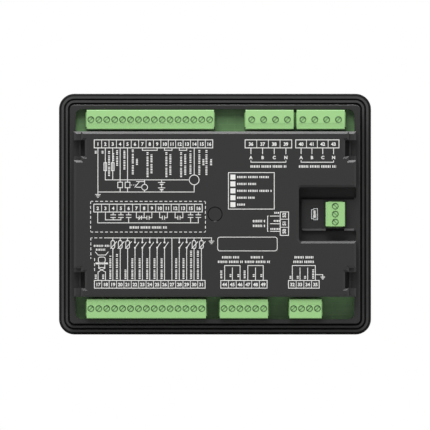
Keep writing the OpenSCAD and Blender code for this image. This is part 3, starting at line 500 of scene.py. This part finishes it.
# Keys. Moulded caps that press a switch each, held behind the front wall by their flange; each carries
# a plain printed sign.
finish(["stop_key"], moulded("stop plastic", linear(168, 36, 30), 0.45, grain_mm=0.3))
finish(["start_key"], moulded("start plastic", linear(44, 118, 50), 0.45, grain_mm=0.3))
finish(["manual_key", "auto_key", "test_key", "up_key", "down_key", "enter_key"],
       moulded("key plastic", linear(120, 125, 129), 0.45, grain_mm=0.3))
sign_line, sign_half = 0.9, 2.6
second_lift, third_lift = film_lift * 1.1, film_lift * 1.2


def key_sign(key, draw):
    """A sign printed on a key: draw(piece, plane) lays its ink around the key's middle."""
    low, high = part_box(key)
    middle = (low + high) / 2

    def on_key(x, up, lift):
        return Vector((middle.x + x * mm, high.y + lift * mm, middle.z + up * mm))

    piece = film(key + "_sign", key, pale_ink, "print_ink")
    draw(piece, on_key)
    settle(piece)


def lay(piece, corners, plane, lift=film_lift):
    """A closed flat patch of ink with its corners, in millimetres, on a plane."""
    shape = piece["shape"]
    under = [shape.verts.new(plane(across, up, -film_lift)) for across, up in corners]
    over = [shape.verts.new(plane(across, up, lift)) for across, up in corners]
    count = len(corners)
    shape.faces.new(under)
    shape.faces.new(list(reversed(over)))
    for i in range(count):
        shape.faces.new((under[i], over[i], over[(i + 1) % count], under[(i + 1) % count]))


def stroke(piece, start, end, width, plane, lift=film_lift):
    """A straight printed line with square ends."""
    first, last = Vector(start), Vector(end)
    along = (last - first).normalized() * width / 2
    side = Vector((-along.y, along.x))
    lay(piece, [first - along - side, last + along - side, last + along + side, first - along + side],
        plane, lift)


def ring(piece, plane):
    """A ring, for stop."""
    closed_line(piece, arc_points((0, 0), sign_half), sign_line, plane)


def bar(piece, plane):
    """An upright bar, for start."""
    stroke(piece, (0, -sign_half), (0, sign_half), sign_line, plane)


def disc(piece, plane):
    """A filled disc, for running by hand."""
    lay(piece, arc_points((0, 0), sign_half * 0.7), plane)


def ring_with_dot(piece, plane):
    """A ring around a dot, for automatic running."""
    closed_line(piece, arc_points((0, 0), sign_half), sign_line * 0.7, plane)
    lay(piece, arc_points((0, 0), sign_half * 0.35, parts=16), plane)


def square_wave(piece, plane):
    """A stepped wave, for a test run."""
    end, step, high, rise = sign_half * 1.3, sign_half * 0.5, 1.6, 0.6
    stroke(piece, (-end, -high), (-step, -high), sign_line, plane)
    stroke(piece, (-step, -rise), (-step, high), sign_line, plane, second_lift)
    stroke(piece, (-step + sign_line, high), (step, high), sign_line, plane)
    stroke(piece, (step, rise), (step, -high), sign_line, plane, second_lift)
    stroke(piece, (step + sign_line, -high), (end, -high), sign_line, plane)


def triangle(tip_up):
    """A filled triangle that points up or down."""
    def draw(piece, plane):
        lay(piece, [(-sign_half, -tip_up * sign_half * 0.7), (sign_half, -tip_up * sign_half * 0.7),
                    (0, tip_up * sign_half)], plane)
    return draw


def hooked_arrow(piece, plane):
    """An arrow that comes down and turns to the side, for enter; x runs the other way from the front."""
    bend, shaft_end, head_start, head_half, tip = -0.6, 1.0, 1.2, 1.6, sign_half + 0.6
    stroke(piece, (-sign_half, sign_half), (-sign_half, bend), sign_line, plane)
    stroke(piece, (-sign_half + sign_line, bend), (shaft_end, bend), sign_line, plane, second_lift)
    head = [(tip, bend), (head_start, bend + head_half), (head_start, bend - head_half)]
    lay(piece, head, plane, third_lift)


for key, draw in (("stop_key", ring), ("start_key", bar), ("manual_key", disc), ("auto_key", ring_with_dot),
                  ("test_key", square_wave), ("up_key", triangle(1)), ("down_key", triangle(-1)),
                  ("enter_key", hooked_arrow)):
    key_sign(key, draw)


# Data port. A folded shell of tinned steel with a white contact tongue, soldered to the rear board and
# reached through the platform in the bay.
# The port's shell is dark grey, with a painted highlight on its faces that look to the rear.
finish(["usb_shell"], plated("port metal", linear(74, 76, 78), 0.4, rear_highlight=linear(196, 199, 201)))
finish(["usb_insulator"], moulded("port insulator", linear(252, 252, 250), 0.4, grain_mm=0.2, bump=0.08))


# Rear case. The black moulding with the raised block, the two terminal windows, the clip pockets and
# the port bay; fine even grain on its faces. Its chamfers catch the overhead light and are also painted
# lighter as a patchy highlight.
chamfers = (0.6, 0.8)
faces_near, given = new_group(
    "faces near a place",
    {"Colour": unset, "Local": unset, "Place": (0, 0, 0), "Half": (0.01, 0.01, 0.01)}, ["Colour"])
away = vector_calc(faces_near, "SUBTRACT", object_spot(faces_near), given["Place"])
margin = vector_calc(faces_near, "SUBTRACT", given["Half"], vector_calc(faces_near, "ABSOLUTE", away))
margins = three_ways(faces_near, margin)
least_margin = calc(faces_near, "MINIMUM", calc(faces_near, "MINIMUM", margins[0], margins[1]), margins[2])
inside = calc(faces_near, "GREATER_THAN", least_margin, 0.0)
chosen = calc(faces_near, "MULTIPLY", faces_between(faces_near, *chamfers), inside)
put(faces_near, "NodeGroupOutput", {"Colour": mix(faces_near, chosen, given["Colour"], given["Local"])})

face_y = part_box("rear_case")[0].y
platform_y, platform_low = -20.4, -9.8
# Painted highlight on the platform's lower chamfer, in two boxes that leave the part under the data plug dark
# as its painted shadow.
painted_edge_highlights = [((62.2, platform_y, platform_low), (7.6, 1.0, 1.2), linear(168, 168, 168)),
                ((85.0, platform_y, platform_low), (3.4, 1.0, 1.2), linear(176, 176, 176))]
# The sloped wall of the gate mark is painted near black as shade.
gate_mark_shade = ((0, face_y / mm, 0), (6, 2, 6), linear(8, 8, 8))


def local_tones(tree, colour):
    """Painted highlight on the platform's lower edge and painted shade in the gate mark, on chamfers."""
    for place, half, local in painted_edge_highlights + [gate_mark_shade]:
        colour = grouped(tree, faces_near, {"Colour": colour, "Local": local, "Place": Vector(place) * mm,
                                            "Half": Vector(half) * mm})["Colour"]
    return colour


unlimited = 1000
tub_edge = 7.7
# Chamfers that face halfway to the rear, inside the tub's edge, are painted lighter as a highlight.
finish(["rear_case"],
       moulded("case plastic", linear(37, 37, 37), 0.45, grain_mm=0.45, bump=0.08, mottle=0.08, gloss=0.22,
               turned=(linear(50, 50, 50), 0.22, chamfers, unlimited, tub_edge), tint=local_tones))


# Panel seal. A square ring of moulded rubber that lies in the channel of the flange; it is pressed flat
# against the panel.
# The seal's faces that look to the rear are painted lighter grey as a sheen.
finish(["panel_gasket"],
       moulded("seal rubber", linear(16, 16, 16), 0.6, grain_mm=0.25, bump=0.2, gloss=0.15,
               turned=(linear(66, 66, 66), 0.55, rear_faces, unlimited, 0)))


# Terminal headers. Green moulded sockets with tinned pins, soldered to the rear board, one for each plug;
# the moulding has slightly rounded edges.
poles = {"output_plug": 16, "generator_plug": 4, "mains_plug": 4, "input_plug": 15, "bus_plug": 6,
         "current_plug": 4, "serial_plug": 3}
terminal_plastic = moulded("terminal plastic", linear(149, 196, 129), 0.42, grain_mm=0.35, bump=0.12,
                           mottle=0.06)
finish([name.replace("plug", "header") for name in poles], terminal_plastic, edge_mm=0.15)
finish(["header_pins"], plated("tinned pin", linear(201, 196, 178), 0.25))


# Plugs. Green moulded blocks that push on to the headers, each pole with a screw well on its face, a wire
# entry at its side and a tinned clamp inside; the slotted screws have a green finish too, with a darker
# ring painted on each head as the shade of its well.
finish(poles, terminal_plastic, edge_mm=0.2)
# Painted shade: a darker ring on each screw head of a row, where the head drops into its well.
shade_rings_in_row, given = new_group(
    "painted shade rings in a row",
    {"Middle": unset, "Ring": unset, "First": (0, 0, 0), "Along": (1, 0, 0), "Pitch": 0.005,
     "Inner": 0.001, "Outer": 0.002}, ["Colour"])
beside = vector_calc(shade_rings_in_row, "SUBTRACT", object_spot(shade_rings_in_row), given["First"])
level = vector_calc(shade_rings_in_row, "MULTIPLY", beside, (1, 0, 1))
way = vector_calc(shade_rings_in_row, "DOT_PRODUCT", level, given["Along"])
pole = calc(shade_rings_in_row, "ROUND", calc(shade_rings_in_row, "DIVIDE", way, given["Pitch"]))
axis = vector_calc(shade_rings_in_row, "SCALE", given["Along"], calc(shade_rings_in_row, "MULTIPLY", pole, given["Pitch"]))
radius = vector_calc(shade_rings_in_row, "LENGTH", vector_calc(shade_rings_in_row, "SUBTRACT", level, axis))
shade_share = put(shade_rings_in_row, "ShaderNodeMapRange",
                 {"Value": radius, "From Min": given["Inner"], "From Max": given["Outer"]},
                 interpolation_type="SMOOTHSTEP").outputs[0]
put(shade_rings_in_row, "NodeGroupOutput", {"Colour": mix(shade_rings_in_row, shade_share, given["Middle"], given["Ring"])})

ring_inner, ring_outer = 0.6, 0.86


def screw_rings(name):
    """The tint of a plug's screws: a darker ring painted around each head as shade, where it drops into its
    well.
    """
    low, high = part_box(name + "_screws")
    size = high - low
    head_r = min(size.x, size.z) / 2
    along = Vector((1, 0, 0)) if size.x > size.z else Vector((0, 0, 1))
    pitch = (max(size.x, size.z) - 2 * head_r) / (poles[name] - 1)

    def tint(tree, colour):
        return grouped(tree, shade_rings_in_row,
                       {"Middle": colour, "Ring": linear(100, 136, 88), "Along": along, "Pitch": pitch,
                        "First": low + Vector((head_r, 0, head_r)), "Inner": head_r * ring_inner,
                        "Outer": head_r * ring_outer})["Colour"]
    return tint


for name in poles:
    screw_green = moulded(name + " screws", linear(153, 197, 135), 0.38, grain_mm=0.25, bump=0.1, mottle=0.1,
                          tint=screw_rings(name))
    finish([name + "_screws"], screw_green, edge_mm=0.25)
finish([name + "_clamps" for name in poles], plated("clamp metal", linear(185, 189, 182), 0.3))


# Wiring print: terminal numbers. White screen-printed strips over the blocks' ends of the raised face, a
# cell for each terminal with its number, on the bare plastic.
print_ink = moulded("print ink", linear(222, 222, 220), 0.5, grain_mm=0.12, bump=0.1, mottle=0.08)
thin, border = 0.44, 0.48
divider = thin * 0.82
text_lift, cross_lift = 0.035, 0.028
digit_size, digit_drop, digit_weight = 2.95, 0.27, 0.11


def printed(name):
    """An empty film of the white print."""
    return film(name, "housing", print_ink, "print_ink")


def on_face(x, up, lift):
    """A point of the print on the raised block, in millimetres."""
    return Vector((x * mm, face_y - lift * mm, up * mm))


def outline(piece, points, width=thin):
    """A closed line of the white print."""
    closed_line(piece, points, width, on_face)


def box_points(left, right, low, high):
    """The corners of an upright rectangle."""
    return [(left, low), (right, low), (right, high), (left, high)]


def write_number(piece, number, x, up, size=digit_size, turn=0):
    """A plain number laid on the face around its middle."""
    curve = bpy.data.curves.new("number", "FONT")
    curve.body = str(number)
    curve.size = size * mm
    curve.extrude = text_lift * mm
    curve.offset = digit_weight * mm
    curve.resolution_u = 3
    curve.align_x = curve.align_y = "CENTER"
    holder = bpy.data.objects.new("number", curve)
    scene.collection.objects.link(holder)
    bpy.context.view_layer.update()
    mesh = bpy.data.meshes.new_from_object(holder.evaluated_get(bpy.context.evaluated_depsgraph_get()))
    mesh.transform(Matrix.Translation(on_face(x, up, 0)) @ Matrix.Rotation(math.radians(90), 4, "X")
                   @ Matrix.Rotation(math.radians(turn), 4, "Z"))
    piece["shape"].from_mesh(mesh)
    bpy.data.objects.remove(holder)
    bpy.data.curves.remove(curve)
    bpy.data.meshes.remove(mesh)


strip_lines = printed("terminal_strips")
strip_numbers = printed("terminal_numbers")


def strip(left, right, numbers, low, high):
    """A row of numbered cells between two upright lines; gives the middle of each."""
    cell = (right - left) / len(numbers)
    outline(strip_lines, box_points(left, right, low + border / 2, high - border / 2), border)
    middles = {}
    for i, number in enumerate(numbers):
        if i:
            stroke(strip_lines, (left + i * cell, low + border), (left + i * cell, high - border),
                   divider, on_face, cross_lift)
        middles[number] = left + (i + 0.5) * cell
        write_number(strip_numbers, number, middles[number], (low + high) / 2 - digit_drop)
    return middles


top_low, top_high = 41.6, 47.15
bottom_low, bottom_high = -46.95, -41.65
inner_low, inner_high = 1.1, 6.55
output_x = strip(-76.27, -1.45, range(1, 17), top_low, top_high)
generator_x = strip(19.0, 48.43, range(36, 40), top_low, top_high)
mains_x = strip(50.95, 78.29, range(40, 44), top_low, top_high)
input_x = strip(-76.15, -6.25, range(17, 32), bottom_low, bottom_high)
bus_x = strip(3.66, 32.9, range(44, 50), bottom_low, bottom_high)
current_x = strip(46.41, 65.79, range(32, 36), bottom_low, bottom_high)
inner_x = strip(-76.53, -8.08, list(range(2, 14)) + [15, 16], inner_low, inner_high)

serial_left, serial_right = 41.2, 46.45
serial_low, serial_cell = -13.4, 5.1
serial_high = serial_low + 3 * serial_cell - 0.5
serial_up = {}
outline(strip_lines, box_points(serial_left, serial_right, serial_low, serial_high), border)
for i, number in enumerate((50, 51, 52)):
    serial_up[number] = serial_low + (i + 0.5) * serial_cell
    if i:
        stroke(strip_lines, (serial_left + border, serial_low + i * serial_cell),
               (serial_right - border, serial_low + i * serial_cell), divider, on_face, cross_lift)
    write_number(strip_numbers, number, (serial_left + serial_right) / 2, serial_up[number], turn=90)
settle(strip_lines)
settle(strip_numbers)


# Wiring print: captions. Where the print carries words, short blocks of ink stand for their letters, in
# the same white ink as the lines.
block_widths = (0.7, 0.55, 0.8, 0.5, 0.65, 0.55, 0.7)
block_gap, block_least = 0.42, 0.3
word_gap, word_length = 1.1, 6
label_height = 1.2
captions = printed("print_captions")


def caption(start, end, across, height=label_height, upright=False):
    """A row of ink blocks from start to end, at a place across it; upright ones read upwards."""
    low, high = across - height / 2, across + height / 2
    count = 0
    while start < end - block_least:
        reach = min(start + block_widths[count % len(block_widths)], end)
        corners = box_points(low, high, start, reach) if upright else box_points(start, reach, low, high)
        lay(captions, corners, on_face, text_lift)
        count += 1
        start = reach + (word_gap if count % word_length == 0 else block_gap)


def upright_captions(*rows):
    """Captions that read upwards, each as (place across, top, bottom)."""
    for x, high, low in rows:
        caption(low, high, x, upright=True)


# Wiring print: supply and outputs. The upper diagram with fuses, contactor coils, the battery and
# the charging generator as plain lines and signs.
supply = printed("supply_diagram")


def across_line(piece, left, right, up, width=thin):
    """A level printed line."""
    stroke(piece, (left, up), (right, up), width, on_face)


def upright_line(piece, x, low, high):
    """An upright printed line."""
    stroke(piece, (x, low), (x, high), thin, on_face, cross_lift)


def slanting_line(piece, start, end):
    """A slanting printed line, such as the arm of a switch."""
    stroke(piece, start, end, thin, on_face, text_lift)


def ground_sign(piece, x, up, size=1.5):
    """An earth sign: three bars that grow shorter downwards."""
    for i, share in enumerate((1.0, 0.62, 0.25)):
        across_line(piece, x - size * share, x + size * share, up - i * 0.55 * size, width=thin * 0.9)


def dashed(piece, start, end, width=thin, dash=1.4, period=3.12):
    """A dashed printed line."""
    first, last = Vector(start), Vector(end)
    along = (last - first).normalized()
    reach = 0.0
    while reach < (last - first).length:
        tip = min(reach + dash, (last - first).length)
        stroke(piece, first + along * reach, first + along * tip, width, on_face, cross_lift)
        reach += period


plus_up = 21.65
minus_up = 14.0
earth_drop = 1.6
fuse_high, fuse_low, fuse_half = 32.5, 27.5, 0.85
coil_high, coil_low, coil_half = 20.2, 16.7, 1.5
charger_r = 3.1
upright_line(supply, output_x[1], minus_up - earth_drop, top_low)
ground_sign(supply, output_x[1], minus_up - earth_drop)
for number in (2, 3):
    x = output_x[number]
    upright_line(supply, x, plus_up, top_low)
    outline(supply, box_points(x - fuse_half, x + fuse_half, fuse_low, fuse_high))
for number in (4, 5):
    x = output_x[number]
    upright_line(supply, x, coil_high, top_low)
    upright_line(supply, x, minus_up, coil_low)
    outline(supply, box_points(x - coil_half, x + coil_half, coil_low, coil_high))
across_line(supply, output_x[2], output_x[14] - charger_r, plus_up)
across_line(supply, output_x[1], output_x[14], minus_up)
outline(supply, arc_points((output_x[14], plus_up), charger_r))
upright_line(supply, output_x[14], plus_up + charger_r, top_low)
upright_line(supply, output_x[14], minus_up, plus_up - charger_r)
motor_x, motor_up, motor_r = -44.45, 17.0, 1.85
outline(supply, arc_points((motor_x, motor_up), motor_r, parts=24))
upright_line(supply, motor_x, motor_up + motor_r, plus_up)
upright_line(supply, motor_x, minus_up, motor_up - motor_r)
contact_up, contact_left, link_up = 20.6, -49.6, 18.4
across_line(supply, contact_left, motor_x, contact_up)
across_line(supply, contact_left, motor_x - motor_r, motor_up)
slanting_line(supply, (contact_left - 1.0, motor_up), (contact_left + 1.6, contact_up - 0.5))
dashed(supply, (output_x[5] + 2.1, link_up), (contact_left, link_up), width=thin * 0.8, dash=0.5, period=1.5)
battery_x = -33.7
cell_ups = (20.0, 16.6)
plate_step = 1.15
long_half, short_half = 2.0, 0.8
for cell_up in cell_ups:
    across_line(supply, battery_x - long_half, battery_x + long_half, cell_up)
    across_line(supply, battery_x - short_half, battery_x + short_half, cell_up - plate_step,
                width=thin * 1.5)
for low, high in ((cell_ups[0], plus_up), (cell_ups[1], cell_ups[0] - plate_step),
                  (minus_up, cell_ups[1] - plate_step)):
    upright_line(supply, battery_x, low, high)
bracket_up = 40.3
for first, last in ((7, 9), (10, 11), (12, 13)):
    across_line(supply, output_x[first], output_x[last], bracket_up)
    for number in (first, last):
        upright_line(supply, output_x[number], bracket_up, top_low)
settle(supply)
upright_captions(
    (-75.3, 40.4, 38.3), (-71.0, 40.4, 38.3), (-64.3, 39.1, 33.7), (-66.9, 40.5, 24.1), (-61.8, 40.5, 30.6),
    (-57.2, 40.5, 28.2), (-51.9, 41.0, 25.1), (-49.3, 35.6, 31.1), (-42.6, 39.1, 23.4), (-40.1, 37.8, 25.8),
    (-30.7, 39.1, 23.4), (-28.2, 37.8, 24.8), (-21.4, 39.1, 23.4), (-18.8, 37.8, 24.8), (-15.5, 40.5, 25.4),
    (-9.9, 40.5, 24.8), (-7.3, 35.4, 30.9), (-5.4, 40.5, 24.8), (-2.5, 35.0, 30.9))


# Wiring print: voltage inputs. Plain phase letters under each voltage terminal, joined by a bracket to
# the caption of the group.
phases = printed("phase_letters")
brackets = printed("phase_brackets")
stem_low, bracket_high, bracket_low = 38.15, 33.7, 32.8
letter_up, letter_size = 35.65, 2.75
group_up, group_height = 30.1, 1.5
for middles, left, right in ((generator_x, 22.4, 45.0), (mains_x, 53.0, 76.4)):
    places = list(middles.values())
    for place, letter in zip(places, ("A", "B", "C", "N")):
        upright_line(brackets, place, stem_low, top_low)
        write_number(phases, letter, place, letter_up, size=letter_size)
    across_line(brackets, places[0], places[-1], bracket_low)
    for place in (places[0], places[-1]):
        upright_line(brackets, place, bracket_low, bracket_high)
    caption(left, right, group_up, group_height)
settle(phases)
settle(brackets)


# Wiring print: fitted options. A framed list of five white check squares, each with its caption; the
# squares are full patches of ink.
options = printed("option_list")
outline(options, box_points(8.5, 37.4, 3.2, 26.25))
square_left, square_side = 9.75, 3.15
option_up, option_pitch = 23.42, 4.345
option_words, option_height = 14.0, 1.3
for i, right in enumerate((34.4, 26.3, 35.9, 25.0, 18.9)):
    middle = option_up - i * option_pitch
    lay(options, box_points(square_left, square_left + square_side, middle - square_side / 2,
                            middle + square_side / 2), on_face)
    caption(option_words, right, middle, option_height)
settle(options)


# Wiring print: serial port. Three lines from the upright strip to a bracket, and a rounded frame below,
# with the captions of the lines and of the group.
serial = printed("serial_diagram")
bracket_x, line_start, tick = 33.2, 1.8, 0.35
words_right, words_rise = 40.9, 1.5
serial_line = {number: serial_up[number] - drop for number, drop in ((50, 0), (51, 0.3), (52, 0.55))}
for number in serial_line:
    across_line(serial, bracket_x + line_start, serial_left - border, serial_line[number])
upright_line(serial, bracket_x, serial_line[50], serial_line[52])
for number in (50, 52):
    across_line(serial, bracket_x, bracket_x + tick, serial_line[number])
for number, left in ((52, 37.5), (51, 37.1), (50, 35.0)):
    caption(left, words_right, serial_up[number] + words_rise)
for up in (-4.4, -7.4):
    caption(23.9, 31.8, up, group_height)
outline(serial, round_box(1.7, 39.3, -23.2, -14.5, radius=1.5), thin * 0.9)
settle(serial)


# Wiring print: internal contacts. A dashed frame around the inner strip, with the contacts of the output
# relays under it.
inner = printed("inner_diagram")
frame_left, frame_right, frame_low, frame_high = -78.55, -6.05, -11.3, 8.08
for up in (frame_high, frame_low):
    dashed(inner, (frame_left, up), (frame_right, up))
for x in (frame_left, frame_right):
    dashed(inner, (x, frame_high), (x, frame_low))
inner_bus = -5.5
inner_branch = -3.6
contact_high, contact_low, contact_half = -0.45, -2.1, 1.5
upright_line(inner, inner_x[2], inner_bus, inner_low)
across_line(inner, inner_x[2], inner_x[16], inner_bus)
upright_line(inner, inner_x[3], inner_branch, inner_low)
across_line(inner, inner_x[3], inner_x[5], inner_branch)
for number, end in ((4, inner_branch), (5, inner_branch), (6, inner_bus), (15, inner_bus), (16, inner_bus)):
    x = inner_x[number]
    upright_line(inner, x, contact_high, inner_low)
    upright_line(inner, x, end, contact_low)
    for up in (contact_high, contact_low):
        across_line(inner, x - contact_half, x + contact_half, up)
pair_up = -2.25
plate_half, plate_gap = 1.05, 0.7
for first, last in ((7, 8), (8, 9), (10, 11), (12, 13)):
    middle = (inner_x[first] + inner_x[last]) / 2
    for number, plate in ((first, middle - plate_gap), (last, middle + plate_gap)):
        across_line(inner, inner_x[number], plate, pair_up)
        upright_line(inner, plate, pair_up - plate_half, pair_up + plate_half)
for number in range(7, 14):
    upright_line(inner, inner_x[number], pair_up, inner_low)
closed_x = (inner_x[7] + inner_x[8]) / 2
slash_x, slash_up = 1.1, 1.0
slanting_line(inner, (closed_x - slash_x, pair_up - slash_up), (closed_x + slash_x, pair_up + slash_up))
settle(inner)
caption(-53.9, -30.4, -8.4, group_height)


# Wiring print: sensors and switches. The lower diagram: a speed pickup, variable resistors and switches
# between the input terminals and a common line to earth.
inputs = printed("input_diagram")
common_up, common_left, common_right = -14.98, -68.3, -2.2
screen_left, screen_right, screen_turn, screen_low = -78.4, -76.05, -28.0, -36.0
earth_stem = 2.0
sensor_high, sensor_low, sensor_half = -16.6, -21.75, 1.18
switch_high, switch_low, switch_reach = -17.8, -21.2, 2.4
dot_r = 0.6
across_line(inputs, common_left, common_right, common_up)
dashed(inputs, (common_left, common_up), (screen_left - 0.2, common_up))
dashed(inputs, (screen_left, common_up), (screen_left, screen_turn))
dashed(inputs, (screen_right, screen_turn), (screen_right, screen_low))
upright_line(inputs, common_right, common_up - earth_stem, common_up)
ground_sign(inputs, common_right, common_up - earth_stem)
for number in (19, 20, 21, 30, 31):
    x = input_x[number]
    upright_line(inputs, x, sensor_high, common_up)
    outline(inputs, round_box(x - sensor_half, x + sensor_half, sensor_low, sensor_high, sensor_half))
    slanting_line(inputs, (x - 1.4, sensor_low + 0.15), (x + 2.4, sensor_high - 0.8))
    upright_line(inputs, x, bottom_high, sensor_low)
for number in (22, 23, 24, 25, 26, 28, 29):
    x = input_x[number]
    upright_line(inputs, x, switch_high, common_up)
    for up in (switch_high, switch_low):
        lay(inputs, arc_points((x, up), dot_r, parts=12), on_face)
    slanting_line(inputs, (x, switch_low), (x + switch_reach, switch_high))
    upright_line(inputs, x, bottom_high, switch_low)
upright_line(inputs, input_x[27], bottom_high, common_up)
pickup_x = (input_x[17] + input_x[18]) / 2
tooth_up, tooth_half, tooth_foot, tooth_rise = -25.8, 2.4, 4.0, 1.9
twist_high, twist_low = -34.0, -36.5
core_up, core_half, core_width = -31.1, 3.4, 1.1
head_half, foot_half = 2.2, 1.9
across_line(inputs, pickup_x - tooth_half, pickup_x + tooth_half, tooth_up)
for side in (-1, 1):
    stroke(inputs, (pickup_x + side * tooth_half, tooth_up),
           (pickup_x + side * tooth_foot, tooth_up + tooth_rise), thin, on_face, cross_lift)
    stroke(inputs, (pickup_x - side * 2.1, twist_high), (pickup_x + side * 2.3, twist_low), thin, on_face,
           cross_lift + side * 0.002)
outline(inputs, round_box(pickup_x - head_half, pickup_x + head_half, core_up + 0.5, core_up + 4.0, 1.2))
outline(inputs, box_points(pickup_x - foot_half, pickup_x + foot_half, core_up - 2.6, core_up - 0.5))
across_line(inputs, pickup_x - core_half, pickup_x + core_half, core_up, width=core_width)
for number in (17, 18):
    upright_line(inputs, input_x[number], bottom_high, twist_low)
settle(inputs)
caption(-76.5, -66.6, -20.0, height=1.25)
caption(-75.2, -68.0, -22.4, height=1.25)
words_low = -40.9
for x, high in ((-75.3, -38.2), (-70.6, -38.2), (-66.1, -26.2), (-61.9, -25.2), (-56.5, -34.4),
                (-52.2, -27.2), (-47.6, -27.2), (-42.8, -27.2), (-38.2, -27.2), (-33.7, -27.2),
                (-24.5, -27.2), (-19.9, -27.2), (-15.1, -22.4), (-10.8, -22.8)):
    upright_captions((x, high, words_low))


# Wiring print: bus and current terminals. Captions and brackets over the two right-hand strips, with an
# earth sign beside the last terminal.
lower = printed("bus_current_diagram")
join_up = -32.45
inner_stem = -33.95
for middles, group in ((bus_x, (44, 45, 46)), (bus_x, (47, 48, 49)), (current_x, (32, 33, 34, 35))):
    across_line(lower, middles[group[0]], middles[group[-1]], join_up)
    for number in group:
        top = join_up if number in (group[0], group[-1]) else inner_stem
        upright_line(lower, middles[number], bottom_high, top)
earth_x, earth_up, earth_low = 68.05, -38.2, bottom_high + 2.0
across_line(lower, current_x[35], earth_x, earth_up)
upright_line(lower, earth_x, earth_low, earth_up)
ground_sign(lower, earth_x, earth_low, size=1.2)
settle(lower)
for left, right, up in ((4.45, 15.15, -27.25), (1.85, 17.5, -30.1), (22.6, 30.65, -27.25),
                        (18.85, 34.65, -30.1), (50.2, 62.1, -27.25), (49.45, 63.0, -30.1)):
    caption(left, right, up, height=1.45)
upright_captions(
    (3.95, -35.5, -40.5), (9.8, -37.8, -39.6), (14.75, -37.8, -39.6), (18.7, -35.5, -40.5),
    (24.45, -37.8, -39.6), (29.3, -37.8, -39.6), (47.65, -38.4, -40.7), (52.2, -38.4, -40.7),
    (56.9, -38.4, -40.7), (62.0, -34.0, -40.7))
settle(captions)
